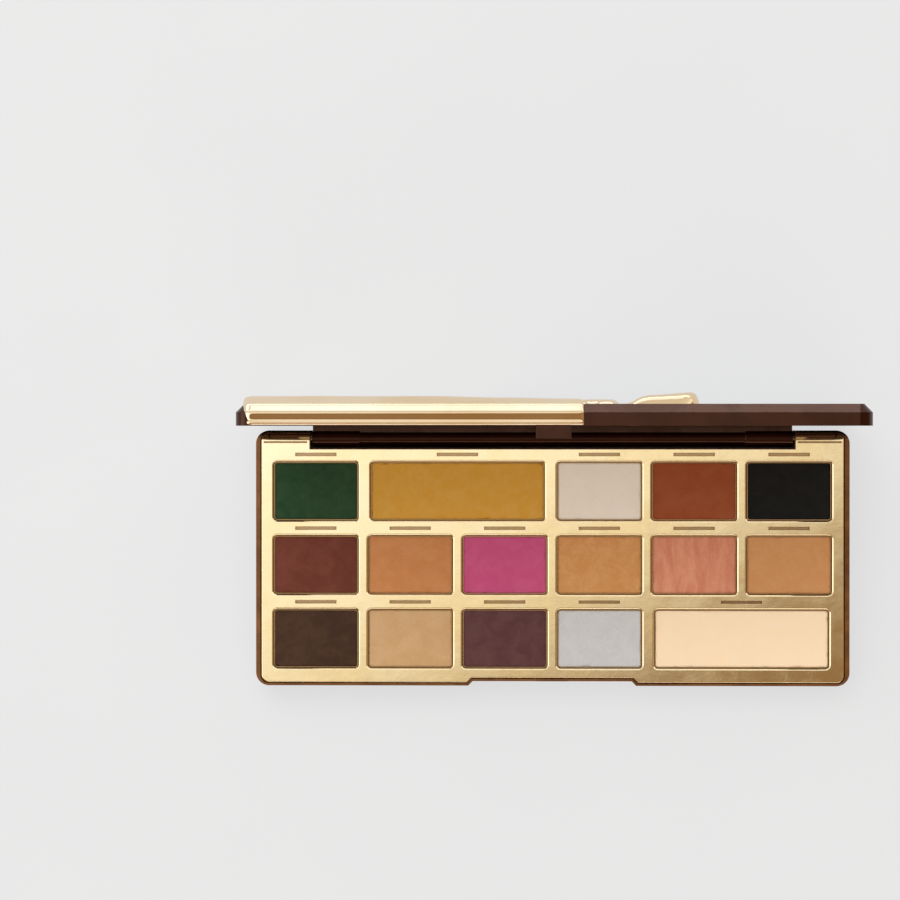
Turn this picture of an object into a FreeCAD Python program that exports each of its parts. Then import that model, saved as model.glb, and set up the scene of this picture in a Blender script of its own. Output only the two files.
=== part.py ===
"""Eyeshadow palette: a moulded case with a hinged lid, a metallised tray insert and 16 filled pans.

Frame: X to the right, Y towards the hinge, Z up.  The origin is the centre of the case's underside.
The lid is drawn closed, in its own frame with the hinge axis as X and z up, and placed open.
All lengths are millimetres.
"""
import FreeCAD, Part
import math
import os
import Sketcher

V = FreeCAD.Vector
doc = FreeCAD.newDocument("EyeshadowPalette")

# ---------------------------------------------------------------- driving sizes
SIZES = [
    ("case_width", 180.0, "outside width of case and lid"),
    ("case_depth", 77.5, "outside depth of case and lid"),
    ("case_height", 9.0, "underside to the rim of the tray"),
    ("case_corner", 4.0, "corner radius of the outline"),
    ("floor_thick", 2.0, "case floor"),
    ("foot_round", 1.0, "rounding of the underside's edge"),
    ("rim_round", 0.3, "rounding of the top rim"),
    ("rim_side", 1.4, "rim left outside the insert at the sides"),
    ("rim_front", 0.7, "rim left outside the insert at the front and along the notch"),
    ("rim_ear", 0.75, "rim left behind the insert on the ears"),
    ("ledge", 1.05, "width of the ledge that carries the insert"),
    ("seat_gap", 0.15, "gap round the insert's plate"),
    ("notch_wall", 1.6, "wall between the thumb notch and the cavity"),
    ("pocket_wall", 1.4, "wall between the hinge pocket and the cavity"),
    ("overrun", 1.0, "how far a cut runs past the surface it starts from"),
    ("root", 0.5, "how far an added form runs into the wall it stands on"),
    ("rib_thick", 1.2, "floor ribs under the wells"),
    ("rib_length", 168.0, "floor ribs"),
    ("rib_spread", 5.0, "rib to the middle of its row"),
    ("notch_width", 51.0, "thumb notch in the front wall"),
    ("notch_depth", 1.4, "thumb notch"),
    ("click_height", 6.9, "middle of the click ridge in the notch"),
    ("click_half", 0.3, "half height of the ridge and of the bead"),
    ("click_ridge", 0.2, "ridge out of the notch's face"),
    ("click_root", 0.2, "ridge's foot inside the wall"),
    ("label_width", 70.0, "blank sticker on the underside"),
    ("label_depth", 20.0, "sticker"),
    ("label_thick", 0.15, "sticker"),
    ("label_corner", 1.0, "sticker's corner radius"),
    ("label_gap", 0.3, "sticker to its recess"),
    ("label_back", 18.0, "sticker's middle behind the origin"),
    ("plate_top", 8.8, "top of the insert's plate"),
    ("plate_thick", 1.2, "insert's plate"),
    ("plate_corner", 2.4, "insert's corner radius"),
    ("plate_round", 0.4, "rounding of the plate's outer edge"),
    ("pan_pitch_x", 28.7, "pan to pan in a row"),
    ("pan_pitch_y", 22.4, "row to row"),
    ("pan_middle_y", -2.1, "middle row's centre line"),
    ("opening_x", 25.8, "opening for a standard pan"),
    ("opening_wide_x", 52.9, "opening for a double pan"),
    ("opening_y", 17.9, "opening for any pan"),
    ("opening_corner", 1.2, "opening's corner radius"),
    ("opening_round", 0.5, "rounding of the opening's edge"),
    ("well_bottom", 4.3, "underside of the wells"),
    ("well_wall", 0.8, "wall and floor of a well"),
    ("well_root", 0.3, "how far the wells run up into the plate"),
    ("vent_radius", 1.5, "hole in a well's floor"),
    ("bar_length", 12.5, "blank recessed bar behind each pan"),
    ("bar_width", 1.0, "recessed bar"),
    ("bar_deep", 0.5, "recessed bar"),
    ("bar_off", 2.2, "bar's middle to the opening's edge"),
    ("ear_line_back", 35.2, "shadow line across the ears"),
    ("ear_line_long", 13.2, "shadow line"),
    ("ear_line_wide", 0.5, "shadow line"),
    ("ear_line_in", 7.6, "shadow line's middle in from the plate's side"),
    ("pan_gap", 0.15, "pan to well, each side"),
    ("pan_wall", 0.25, "sheet metal of a pan"),
    ("pan_height", 3.0, "pan, floor to rim"),
    ("powder_low", 0.15, "powder below the pan's rim"),
    ("powder_edge", 0.2, "rounding of the powder's edge"),
    ("glue_thick", 0.15, "glue dot"),
    ("glue_radius", 3.0, "glue dot"),
    ("glue_reach", 7.0, "dot to the pan's middle, for each column the pan covers"),
    ("axis_inset", 2.6, "hinge axis in from the rear edge"),
    ("axis_height", 5.15, "hinge axis above the underside"),
    ("open_angle", 90.0, "how far open the lid is placed"),
    ("stop_slope", 0.1763, "slope of the stop under the barrel, tan of 10 degrees"),
    ("closed_gap", 0.15, "rim to rim with the lid closed"),
    ("barrel_radius", 2.4, "knuckles at the barrel's ends"),
    ("barrel_half", 73.0, "half length of the barrel"),
    ("knuckle_length", 14.3, "each end knuckle"),
    ("barrel_thin", 2.0, "radius of the barrel between the knuckles"),
    ("pocket_radius", 2.85, "hinge pocket in the case"),
    ("pocket_half", 73.4, "half length of the pocket"),
    ("flange_thick", 1.5, "lid's rear flange down to the barrel"),
    ("ear_round", 3.0, "rounding of the ears, behind the axis"),
    ("pin_radius", 0.8, "hinge pin"),
    ("pin_run", 0.05, "pin's running clearance in the barrel"),
    ("pin_length", 25.6, "hinge pin"),
    ("pin_sunk", 0.3, "pin's end below the case's side"),
    ("bore_spare", 0.5, "barrel's bore past the pin's inner end"),
    ("lid_thick", 6.2, "lid's rim, from its parting plane"),
    ("lid_bevel", 2.4, "bevel round the lid's outer face"),
    ("field_width", 170.8, "sunk field inside the lid's rim"),
    ("field_depth", 67.1, "sunk field"),
    ("field_sunk", 1.6, "sunk field"),
    ("block_x", 25.7, "chocolate block at its foot"),
    ("block_y", 20.1, "chocolate block at its foot"),
    ("block_high", 1.4, "block's height over the field"),
    ("block_taper", 52.0, "lean of the block's sides from upright, degrees"),
    ("block_round", 0.25, "rounding of the block's edges"),
    ("block_pitch_x", 28.9, "block to block along the lid"),
    ("block_pitch_y", 23.2, "block to block across the lid"),
    ("recess_width", 173.0, "recess for the mirror and its frame"),
    ("recess_depth", 70.0, "recess"),
    ("recess_deep", 2.2, "recess"),
    ("recess_corner", 2.0, "recess"),
    ("core_x", 20.0, "hollow behind each block"),
    ("core_y", 14.5, "hollow behind each block"),
    ("core_deep", 2.2, "hollow behind each block"),
    ("frame_gap", 0.1, "mirror frame to recess"),
    ("frame_thick", 2.0, "mirror frame"),
    ("frame_lip", 0.8, "lip over the mirror's edge"),
    ("mirror_width", 159.0, "mirror"),
    ("mirror_depth", 60.0, "mirror"),
    ("mirror_corner", 1.5, "mirror"),
    ("mirror_thick", 1.0, "mirror"),
    ("mirror_cover", 2.0, "how far the lip covers the mirror"),
    ("mirror_gap", 0.2, "mirror to frame"),
    ("tape_margin", 4.0, "tape in from the mirror's edge"),
    ("tab_width", 10.0, "snap tab at the lid's front edge"),
    ("tab_thick", 0.8, "snap tab"),
    ("tab_long", 3.6, "snap tab"),
    ("tab_bead", 0.25, "bead inside the tab"),
    ("tab_bead_up", 0.4, "bead's middle above the tab's end"),
    ("cover_left", -88.2, "drip cover's left edge"),
    ("cover_field", -28.0, "right end of the cover's plain field"),
    ("cover_proud", 0.7, "cover outside the lid's front and rear faces"),
    ("cover_skirt", 1.2, "cover's lower edge above the lid's parting plane"),
    ("cover_top", 8.6, "cover's top above the lid's parting plane"),
    ("drip_top", 8.2, "drips' top above the lid's parting plane"),
    ("cover_bevel", 3.0, "bevel of the cover's outer edges"),
    ("bulb_top", 10.2, "top of the swollen tip of the longest drip, above the lid's parting plane"),
    ("cover_corner", 3.3, "corner radius of the cover"),
    ("cover_root", 2.0, "how far the band and the shoulder run back into the field"),
    ("cover_inset", 0.2, "band and shoulder inside the field's outer faces"),
    ("shoulder_step", 0.2, "shoulder's top below the drips"),
    ("band_step", 0.4, "band's top below the drips"),
    ("shoulder_end", -16.0, "right end of the shoulder at the lid's rear edge"),
    ("band_end", 8.6, "right end of the cover's front band"),
    ("band_back", -27.0, "rear side of the cover's front band"),
]

# Drips of the cover: name, first and last X of the centre line, its Y, half width, size that gives its top.
DRIPS = [
    ("rear_drip", -4.0, 13.6, 27.8, 2.2, "drip_top"),
    ("small_drip", -14.0, -1.7, 18.0, 3.5, "drip_top"),
    ("middle_drip", -30.0, 14.4, 5.5, 5.4, "drip_top"),
    ("long_drip", -34.0, 36.3, -16.3, 6.35, "drip_top"),
    ("long_bulb", 26.0, 35.6, -16.3, 5.4, "bulb_top"),
]

# Outline of the cover's shoulder past the field, from its front end to the back: X and Y.
SHOULDER = [(-14.0, 14.15), (-1.0, 22.05), (2.0, 26.15), (0.0, 32.65), (-7.0, 34.45)]

COLUMNS = 6
ROWS = 3

# How closely two lengths must agree to count as equal, and the least change of volume a feature must make.
SAME_LENGTH = 0.01
LEAST_VOLUME = 1e-6

# Shades: name, row from the hinge, first column from the left, columns covered.
SHADES = [
    ("forest_green", 0, 0, 1),
    ("ochre_gold", 0, 1, 2),
    ("ivory", 0, 3, 1),
    ("rust", 0, 4, 1),
    ("black", 0, 5, 1),
    ("maroon", 1, 0, 1),
    ("amber", 1, 1, 1),
    ("magenta", 1, 2, 1),
    ("tan", 1, 3, 1),
    ("rose", 1, 4, 1),
    ("caramel", 1, 5, 1),
    ("cocoa", 2, 0, 1),
    ("beige", 2, 1, 1),
    ("plum", 2, 2, 1),
    ("silver", 2, 3, 1),
    ("cream", 2, 4, 2),
]

sheet = doc.addObject("Spreadsheet::Sheet", "Sizes")
drip_cells = []
for drip, start, end, middle, half, _ in DRIPS:
    drip_cells.append((drip + "_start", start, "first X of the centre line"))
    drip_cells.append((drip + "_end", end, "last X of the centre line"))
    drip_cells.append((drip + "_middle", middle, "Y of the centre line"))
    drip_cells.append((drip + "_half", half, "half width"))
shoulder_cells = []
for corner, (x, y) in enumerate(SHOULDER):
    shoulder_cells.append(("shoulder_x%d" % corner, x, "corner of the shoulder"))
    shoulder_cells.append(("shoulder_y%d" % corner, y, "corner of the shoulder"))
for line, (alias, size, note) in enumerate(SIZES + drip_cells + shoulder_cells, start=1):
    sheet.set("A%d" % line, note)
    sheet.set("B%d" % line, str(size))
    sheet.setAlias("B%d" % line, alias)
doc.recompute()


# ---------------------------------------------------------------- helpers
def cells(expression):
    """The expression with every bare alias written as a cell of the sheet, so $name is Sizes.name."""
    return expression.replace("$", "Sizes.")


def number(expression):
    """What an expression comes to."""
    return float(sheet.evalExpression(cells(expression).replace("Sizes.", "")))


def add_body(label):
    body = doc.addObject("PartDesign::Body", label)
    body.Label = label
    return body


def add_sketch(body, name, role, x="0", y="0", z="0"):
    """A sketch on one of the body's origin planes, moved by expressions in the sketch's own frame."""
    sketch = body.newObject("Sketcher::SketchObject", body.Label + "_" + name)
    plane = [f for f in body.Origin.OriginFeatures if f.Role == role][0]
    sketch.AttachmentSupport = (plane, [""])
    sketch.MapMode = "FlatFace"
    for axis, expression in (("x", x), ("y", y), ("z", z)):
        if expression != "0":
            sketch.setExpression(".AttachmentOffset.Base." + axis, cells(expression))
    return sketch


def hold(sketch, kind, first, second, expression):
    """Ties one end of a line, or a centre, to the sketch's origin by an expression."""
    index = sketch.addConstraint(
        Sketcher.Constraint(kind, -1, 1, first, second, number(expression)))
    label = "%s_%d_%d" % (kind, first, second)
    sketch.renameConstraint(index, label)
    sketch.setExpression("Constraints." + label, cells(expression))


def hold_radius(sketch, geometry, expression):
    index = sketch.addConstraint(Sketcher.Constraint("Radius", geometry, number(expression)))
    label = "radius_%d" % geometry
    sketch.renameConstraint(index, label)
    sketch.setExpression("Constraints." + label, cells(expression))


def add_line(sketch, start, end):
    points = [V(number(p[0]), number(p[1]), 0) for p in (start, end)]
    line = sketch.addGeometry(Part.LineSegment(points[0], points[1]), False)
    for tip, point in ((1, start), (2, end)):
        hold(sketch, "DistanceX", line, tip, point[0])
        hold(sketch, "DistanceY", line, tip, point[1])
    return line


def join_arc(sketch, middle, radius, first, last, before, after):
    """An arc between the ends of two lines, its angles given in quarter turns."""
    centre = V(number(middle[0]), number(middle[1]), 0)
    circle = Part.Circle(centre, V(0, 0, 1), number(radius))
    arc = sketch.addGeometry(Part.ArcOfCircle(circle, first * math.pi / 2, last * math.pi / 2), False)
    sketch.addConstraint(Sketcher.Constraint("Coincident", arc, 1, before[0], before[1]))
    sketch.addConstraint(Sketcher.Constraint("Coincident", arc, 2, after[0], after[1]))
    return arc


def add_arc(sketch, middle, radius, first, last, before, after):
    hold_radius(sketch, join_arc(sketch, middle, radius, first, last, before, after), radius)


def add_half_circle(sketch, middle, radius, first, before, after):
    """A half circle between two lines; its ends set its size, so only its centre is held."""
    arc = join_arc(sketch, middle, radius, first, first + 2, before, after)
    hold(sketch, "DistanceX", arc, 3, middle[0])


def add_polygon(sketch, points):
    """A closed outline of straight lines through points given as pairs of expressions."""
    lines = []
    for start, end in zip(points, points[1:] + points[:1]):
        corners = [V(number(p[0]), number(p[1]), 0) for p in (start, end)]
        line = sketch.addGeometry(Part.LineSegment(corners[0], corners[1]), False)
        hold(sketch, "DistanceX", line, 1, start[0])
        hold(sketch, "DistanceY", line, 1, start[1])
        lines.append(line)
    for line, following in zip(lines, lines[1:] + lines[:1]):
        sketch.addConstraint(Sketcher.Constraint("Coincident", line, 2, following, 1))


def add_rectangle(sketch, width, depth, x="0", y="0"):
    left, right = "%s - (%s) / 2" % (x, width), "%s + (%s) / 2" % (x, width)
    low, high = "%s - (%s) / 2" % (y, depth), "%s + (%s) / 2" % (y, depth)
    add_polygon(sketch, [(left, low), (right, low), (right, high), (left, high)])


def add_round_rectangle(sketch, width, depth, radius, x="0", y="0"):
    """A rectangle with rounded corners: four lines, and a quarter circle between each pair."""
    left, right = "%s - (%s) / 2" % (x, width), "%s + (%s) / 2" % (x, width)
    low, high = "%s - (%s) / 2" % (y, depth), "%s + (%s) / 2" % (y, depth)
    plus, minus = " + (%s)" % radius, " - (%s)" % radius
    bottom = add_line(sketch, (left + plus, low), (right + minus, low))
    far = add_line(sketch, (right, low + plus), (right, high + minus))
    top = add_line(sketch, (right + minus, high), (left + plus, high))
    back_left = add_line(sketch, (left, high + minus), (left, low + plus))
    add_arc(sketch, (right + minus, low + plus), radius, 3, 4, (bottom, 2), (far, 1))
    add_arc(sketch, (right + minus, high + minus), radius, 0, 1, (far, 2), (top, 1))
    add_arc(sketch, (left + plus, high + minus), radius, 1, 2, (top, 2), (back_left, 1))
    add_arc(sketch, (left + plus, low + plus), radius, 2, 3, (back_left, 2), (bottom, 1))


def add_slot(sketch, start, end, middle, half):
    """A slot along X with round ends."""
    top, low = "%s + %s" % (middle, half), "%s - %s" % (middle, half)
    below = add_line(sketch, (start, low), (end, low))
    above = add_line(sketch, (end, top), (start, top))
    add_half_circle(sketch, (end, middle), half, -1, (below, 2), (above, 1))
    add_half_circle(sketch, (start, middle), half, 1, (above, 2), (below, 1))


def add_circle(sketch, x, y, radius):
    circle = sketch.addGeometry(Part.Circle(V(number(x), number(y), 0), V(0, 0, 1), number(radius)), False)
    hold(sketch, "DistanceX", circle, 3, x)
    hold(sketch, "DistanceY", circle, 3, y)
    hold_radius(sketch, circle, radius)


volume_changes = []


def extrude(body, kind, name, sketch, length, reverse=False, both_ways=False, taper=None):
    """A Pad or a Pocket of a sketch.  A pocket runs against the sketch's normal unless reversed."""
    feature = body.newObject("PartDesign::" + kind, body.Label + "_" + name)
    before = feature.BaseFeature.Shape.Volume if feature.BaseFeature else 0.0
    feature.Profile = sketch
    feature.Reversed = reverse
    feature.SideType = "Symmetric" if both_ways else "One side"
    feature.setExpression("Length", cells(length))
    if taper is not None:
        feature.setExpression("TaperAngle", cells(taper))
    body.Tip = feature
    doc.recompute()
    volume_changes.append((feature, before, feature.Shape.Volume, kind))
    return feature


def dress(body, kind, name, chosen, size):
    """A Fillet or Chamfer of the edges of the body's tip that the test picks."""
    tip = body.Tip
    picked = ["Edge%d" % n for n, edge in enumerate(tip.Shape.Edges, start=1) if chosen(edge)]
    feature = body.newObject("PartDesign::" + kind, body.Label + "_" + name)
    feature.Base = (tip, picked)
    feature.setExpression("Radius" if kind == "Fillet" else "Size", cells(size))
    body.Tip = feature
    doc.recompute()
    return feature


def repeat(body, name, feature, direction, pitch, count):
    """Copies of a feature, a pitch apart along a sketch's axis."""
    pattern = body.newObject("PartDesign::LinearPattern", body.Label + "_" + name)
    pattern.Originals = [feature]
    pattern.Direction = direction
    pattern.Mode = "Spacing"
    pattern.setExpression("Offset", "Sizes." + pitch)
    pattern.Occurrences = count
    body.Tip = pattern
    doc.recompute()


def near(a, b):
    return abs(a - b) < SAME_LENGTH


def at_height(edge, height):
    """The whole edge lies at one height."""
    box = edge.BoundBox
    return near(box.ZMin, height) and near(box.ZMax, height)


def place(feature, x="0", y="0", z="0"):
    for axis, expression in (("x", x), ("y", y), ("z", z)):
        feature.setExpression(".Placement.Base." + axis, cells(expression))


def place_on_hinge(feature):
    """Puts a lid piece, drawn closed about the hinge axis, on the case and opens it."""
    place(feature, "0", AXIS_Y, "$axis_height")
    feature.Placement = FreeCAD.Placement(feature.Placement.Base, FreeCAD.Rotation(V(-1, 0, 0), 90))
    feature.setExpression(".Placement.Rotation.Angle", "Sizes.open_angle")


# ---------------------------------------------------------------- shared expressions
HALF_WIDTH = "$case_width / 2"
HALF_DEPTH = "$case_depth / 2"
AXIS_Y = "$case_depth / 2 - $axis_inset"
PLATE_LOW = "$plate_top - $plate_thick"
POCKET_WALL = "$case_depth / 2 - $axis_inset - $pocket_radius"
NOTCH_FACE = "-$case_depth / 2 + $notch_depth"
LID_LOW = "$case_height + $closed_gap - $axis_height"
LID_MIDDLE = "$axis_inset - $case_depth / 2"
PIN_START = "$case_width / 2 - $pin_sunk - $pin_length"


def pan_centre(row, column, span):
    """Where a pan's middle is, as expressions."""
    x = "$pan_pitch_x * %s" % (column + (span - 1) / 2 - (COLUMNS - 1) / 2)
    y = "$pan_middle_y + $pan_pitch_y * %d" % (ROWS // 2 - row)
    return x, y


def opening_width(span):
    return "$opening_x" if span == 1 else "$opening_wide_x"


def pan_places():
    """The middle of every pan, as expressions, and how many columns it covers."""
    return [pan_centre(row, column, span) + (span,) for _, row, column, span in SHADES]


def cut_ear_round(body, radius):
    """Rounds the ears behind the hinge axis, so that the lid's edge turns past them."""
    centre_y, centre_z = AXIS_Y + " + $axis_inset - $ear_round", "$case_height - $ear_round"
    back, high = HALF_DEPTH + " + $overrun", "$case_height + $overrun"
    sketch = add_sketch(body, "ear_round_sketch", "YZ_Plane")
    add_line(sketch, (back, centre_z), (back, high))
    add_line(sketch, (back, high), (centre_y, high))
    upper = add_line(sketch, (centre_y, high), (centre_y, centre_z + " + " + radius))
    lower = add_line(sketch, (centre_y + " + " + radius, centre_z), (back, centre_z))
    add_arc(sketch, (centre_y, centre_z), radius, 0, 1, (lower, 1), (upper, 2))
    extrude(body, "Pocket", "ear_round", sketch, "$case_width + $overrun", both_ways=True)


# ---------------------------------------------------------------- case
def make_base_shell():
    body = add_body("base_shell")
    outline = add_sketch(body, "outline", "XY_Plane")
    add_round_rectangle(outline, "$case_width", "$case_depth", "$case_corner")
    extrude(body, "Pad", "block", outline, "$case_height")
    dress(body, "Fillet", "foot_round", lambda edge: at_height(edge, 0), "$foot_round")
    rim = number("$case_height")
    dress(body, "Fillet", "rim_round", lambda edge: at_height(edge, rim), "$rim_round")
    cut_ear_round(body, "$ear_round")

    # hinge pocket: round under the barrel, then a sloping stop for the lid's flange
    pocket = add_sketch(body, "hinge_pocket_sketch", "YZ_Plane")
    low = "$axis_height - $pocket_radius"
    back, high = HALF_DEPTH + " + $overrun", "$case_height + $overrun"
    slope_end = low + " - $stop_slope * ($axis_inset + $overrun)"
    front = add_line(pocket, (POCKET_WALL, high), (POCKET_WALL, "$axis_height"))
    stop = add_line(pocket, (AXIS_Y, low), (back, slope_end))
    add_arc(pocket, (AXIS_Y, "$axis_height"), "$pocket_radius", 2, 3, (front, 2), (stop, 1))
    add_line(pocket, (back, slope_end), (back, high))
    add_line(pocket, (back, high), (POCKET_WALL, high))
    extrude(body, "Pocket", "hinge_pocket", pocket, "2 * $pocket_half", both_ways=True)

    # thumb notch with slanting ends
    notch = add_sketch(body, "notch_sketch", "XY_Plane", z="$case_height")
    mouth, inner = "($notch_width / 2)", "($notch_width / 2 - $notch_depth)"
    front, outside = "-" + HALF_DEPTH, "-" + HALF_DEPTH + " - $overrun"
    add_polygon(notch, [("-" + mouth, outside), (mouth, outside), (mouth, front), (inner, NOTCH_FACE),
                        ("-" + inner, NOTCH_FACE), ("-" + mouth, front)])
    extrude(body, "Pocket", "notch", notch, "$case_height")

    # cavity for the wells, and the seat for the insert's plate
    wall = "$rim_side + $ledge + $seat_gap"
    front_y = NOTCH_FACE + " + $notch_wall"
    back_y = POCKET_WALL + " - $pocket_wall"
    cavity = add_sketch(body, "cavity_sketch", "XY_Plane", z="$case_height")
    add_round_rectangle(cavity, "$case_width - 2 * (%s)" % wall, "(%s) - (%s)" % (back_y, front_y),
                        "$plate_corner", "0", "((%s) + (%s)) / 2" % (back_y, front_y))
    extrude(body, "Pocket", "cavity", cavity, "$case_height - $floor_thick")
    seat = add_sketch(body, "seat_sketch", "XY_Plane", z="$case_height")
    add_plate_outline(seat, "0")
    extrude(body, "Pocket", "seat", seat, "$case_height - (%s)" % PLATE_LOW)

    # ribs under the wells: two for each row of pans
    ribs = add_sketch(body, "ribs_sketch", "XY_Plane", z="$floor_thick")
    for side in ("-", "+"):
        add_rectangle(ribs, "$rib_length", "$rib_thick", "0",
                      "$pan_middle_y - $pan_pitch_y %s $rib_spread" % side)
    rib_pad = extrude(body, "Pad", "ribs", ribs, "$well_bottom - $floor_thick")
    repeat(body, "rib_rows", rib_pad, (ribs, ["V_Axis"]), "pan_pitch_y", ROWS)

    # click ridge on the notch's face
    ridge = add_sketch(body, "ridge_sketch", "YZ_Plane")
    foot, crest = NOTCH_FACE + " + $click_root", NOTCH_FACE + " - $click_ridge"
    below, above = "$click_height - $click_half", "$click_height + $click_half"
    add_polygon(ridge, [(foot, below), (NOTCH_FACE, below), (crest, "$click_height"), (NOTCH_FACE, above),
                        (foot, above)])
    extrude(body, "Pad", "ridge", ridge, "$tab_width", both_ways=True)

    # bores for the hinge pins, and the sticker's recess
    bore = add_sketch(body, "bore_sketch", "YZ_Plane")
    add_circle(bore, AXIS_Y, "$axis_height", "$pin_radius")
    extrude(body, "Pocket", "bores", bore, "$case_width + $overrun", both_ways=True)
    recess = add_sketch(body, "label_sketch", "XY_Plane")
    add_round_rectangle(recess, "$label_width + 2 * $label_gap", "$label_depth + 2 * $label_gap",
                        "$label_corner + $label_gap", "0", "$label_back")
    extrude(body, "Pocket", "label_recess", recess, "$label_thick", reverse=True)
    return body


def add_plate_outline(sketch, inset):
    """The seat of the insert's plate, smaller by an inset, cut back at the notch and the hinge."""
    side = "($case_width / 2 - $rim_side - %s)" % inset
    wall = "($rim_front + %s)" % inset
    front = "(-$case_depth / 2 + %s)" % wall
    notch_front = "(-$case_depth / 2 + $notch_depth + %s)" % wall
    notch_mouth = "($notch_width / 2 + (sqrt(2) - 1) * %s)" % wall
    notch_inner = "(%s - $notch_depth)" % notch_mouth
    back = "($case_depth / 2 - $rim_ear - %s)" % inset
    mid = "(%s - 2 * %s)" % (POCKET_WALL, inset)
    ear = "($pocket_half + $seat_gap + %s)" % inset
    radius = "$plate_corner"
    plus, minus = " + " + radius, " - " + radius
    left_front = add_line(sketch, ("-" + side + plus, front), ("-" + notch_mouth, front))
    add_line(sketch, ("-" + notch_mouth, front), ("-" + notch_inner, notch_front))
    add_line(sketch, ("-" + notch_inner, notch_front), (notch_inner, notch_front))
    add_line(sketch, (notch_inner, notch_front), (notch_mouth, front))
    right_front = add_line(sketch, (notch_mouth, front), (side + minus, front))
    right = add_line(sketch, (side, front + plus), (side, back + minus))
    right_back = add_line(sketch, (side + minus, back), (ear, back))
    add_line(sketch, (ear, back), (ear, mid))
    add_line(sketch, (ear, mid), ("-" + ear, mid))
    add_line(sketch, ("-" + ear, mid), ("-" + ear, back))
    left_back = add_line(sketch, ("-" + ear, back), ("-" + side + plus, back))
    left = add_line(sketch, ("-" + side, back + minus), ("-" + side, front + plus))
    add_arc(sketch, (side + minus, front + plus), radius, 3, 4, (right_front, 2), (right, 1))
    add_arc(sketch, (side + minus, back + minus), radius, 0, 1, (right, 2), (right_back, 1))
    add_arc(sketch, ("-" + side + plus, back + minus), radius, 1, 2, (left_back, 2), (left, 1))
    add_arc(sketch, ("-" + side + plus, front + plus), radius, 2, 3, (left, 2), (left_front, 1))


# ---------------------------------------------------------------- metallised insert
def make_gold_insert():
    body = add_body("gold_insert")
    outline = add_sketch(body, "outline", "XY_Plane", z=PLATE_LOW)
    add_plate_outline(outline, "$seat_gap")
    extrude(body, "Pad", "plate", outline, "$plate_thick")

    plate_top = number("$plate_top")
    pocket_side = number(POCKET_WALL + " - $pocket_wall")

    def plate_edge(edge):
        return at_height(edge, plate_top) and edge.BoundBox.YMin < pocket_side
    dress(body, "Fillet", "edge", plate_edge, "$plate_round")
    cut_ear_round(body, "$ear_round - ($case_height - $plate_top)")

    wells = add_sketch(body, "wells_sketch", "XY_Plane", z=PLATE_LOW + " + $well_root")
    for x, y, span in pan_places():
        width = opening_width(span) + " + 2 * $well_wall"
        add_rectangle(wells, width, "$opening_y + 2 * $well_wall", x, y)
    extrude(body, "Pad", "wells", wells, PLATE_LOW + " + $well_root - $well_bottom", reverse=True)

    openings = add_sketch(body, "openings_sketch", "XY_Plane", z="$plate_top")
    for x, y, span in pan_places():
        add_rectangle(openings, opening_width(span), "$opening_y", x, y)
    extrude(body, "Pocket", "openings", openings, "$plate_top - $well_bottom - $well_wall")
    well_floor = number("$well_bottom + $well_wall")

    def opening_corner(edge):
        box = edge.BoundBox
        upright = near(box.XLength, 0) and near(box.YLength, 0)
        return upright and near(box.ZMin, well_floor) and near(box.ZMax, plate_top)
    dress(body, "Fillet", "opening_corners", opening_corner, "$opening_corner")

    reach_x = number("%s * $pan_pitch_x + $opening_x / 2 + $well_wall" % ((COLUMNS - 1) / 2))
    reach_y = number("%d * $pan_pitch_y + $opening_y / 2 + $well_wall" % (ROWS // 2))
    middle_y = number("$pan_middle_y")

    def opening_edge(edge):
        box = edge.BoundBox
        in_x = max(box.XMax, -box.XMin) < reach_x
        in_y = max(box.YMax - middle_y, middle_y - box.YMin) < reach_y
        return at_height(edge, plate_top) and in_x and in_y
    dress(body, "Fillet", "opening_edges", opening_edge, "$opening_round")

    bars = add_sketch(body, "bars_sketch", "XY_Plane", z="$plate_top")
    for x, y, _ in pan_places():
        add_rectangle(bars, "$bar_length", "$bar_width", x, y + " + $opening_y / 2 + $bar_off")
    extrude(body, "Pocket", "bars", bars, "$bar_deep")

    lines = add_sketch(body, "ear_lines_sketch", "XY_Plane", z="$plate_top")
    for side in ("-", "+"):
        x = side + "(%s - $rim_side - $ear_line_in)" % HALF_WIDTH
        add_rectangle(lines, "$ear_line_long", "$ear_line_wide", x, "$ear_line_back")
    extrude(body, "Pocket", "ear_lines", lines, "$bar_deep")

    vents = add_sketch(body, "vents_sketch", "XY_Plane", z="$well_bottom + $well_wall")
    for x, y, _ in pan_places():
        add_circle(vents, x, y, "$vent_radius")
    extrude(body, "Pocket", "vents", vents, "$well_wall")
    return body


# ---------------------------------------------------------------- pans and powders
def make_pan(name, row, column, span):
    body = add_body("pan_" + name)
    x, y = pan_centre(row, column, span)
    width, depth = opening_width(span) + " - 2 * $pan_gap", "$opening_y - 2 * $pan_gap"
    corner = "$opening_corner - $pan_gap"
    outline = add_sketch(body, "outline", "XY_Plane")
    add_round_rectangle(outline, width, depth, corner)
    extrude(body, "Pad", "block", outline, "$pan_height")
    inside = add_sketch(body, "inside_sketch", "XY_Plane", z="$pan_height")
    add_round_rectangle(inside, width + " - 2 * $pan_wall", depth + " - 2 * $pan_wall",
                        corner + " - $pan_wall")
    extrude(body, "Pocket", "inside", inside, "$pan_height - $pan_wall")
    place(body, x, y, "$well_bottom + $well_wall + $glue_thick")
    return body


def make_powder(name, row, column, span):
    body = add_body("powder_" + name)
    x, y = pan_centre(row, column, span)
    inset = "2 * $pan_gap - 2 * $pan_wall"
    outline = add_sketch(body, "outline", "XY_Plane")
    add_round_rectangle(outline, opening_width(span) + " - " + inset, "$opening_y - " + inset,
                        "$opening_corner - $pan_gap - $pan_wall")
    high = "$pan_height - $pan_wall - $powder_low"
    extrude(body, "Pad", "cake", outline, high)
    dress(body, "Fillet", "edge", lambda edge: at_height(edge, number(high)), "$powder_edge")
    place(body, x, y, "$well_bottom + $well_wall + $glue_thick + $pan_wall")
    return body


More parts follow.
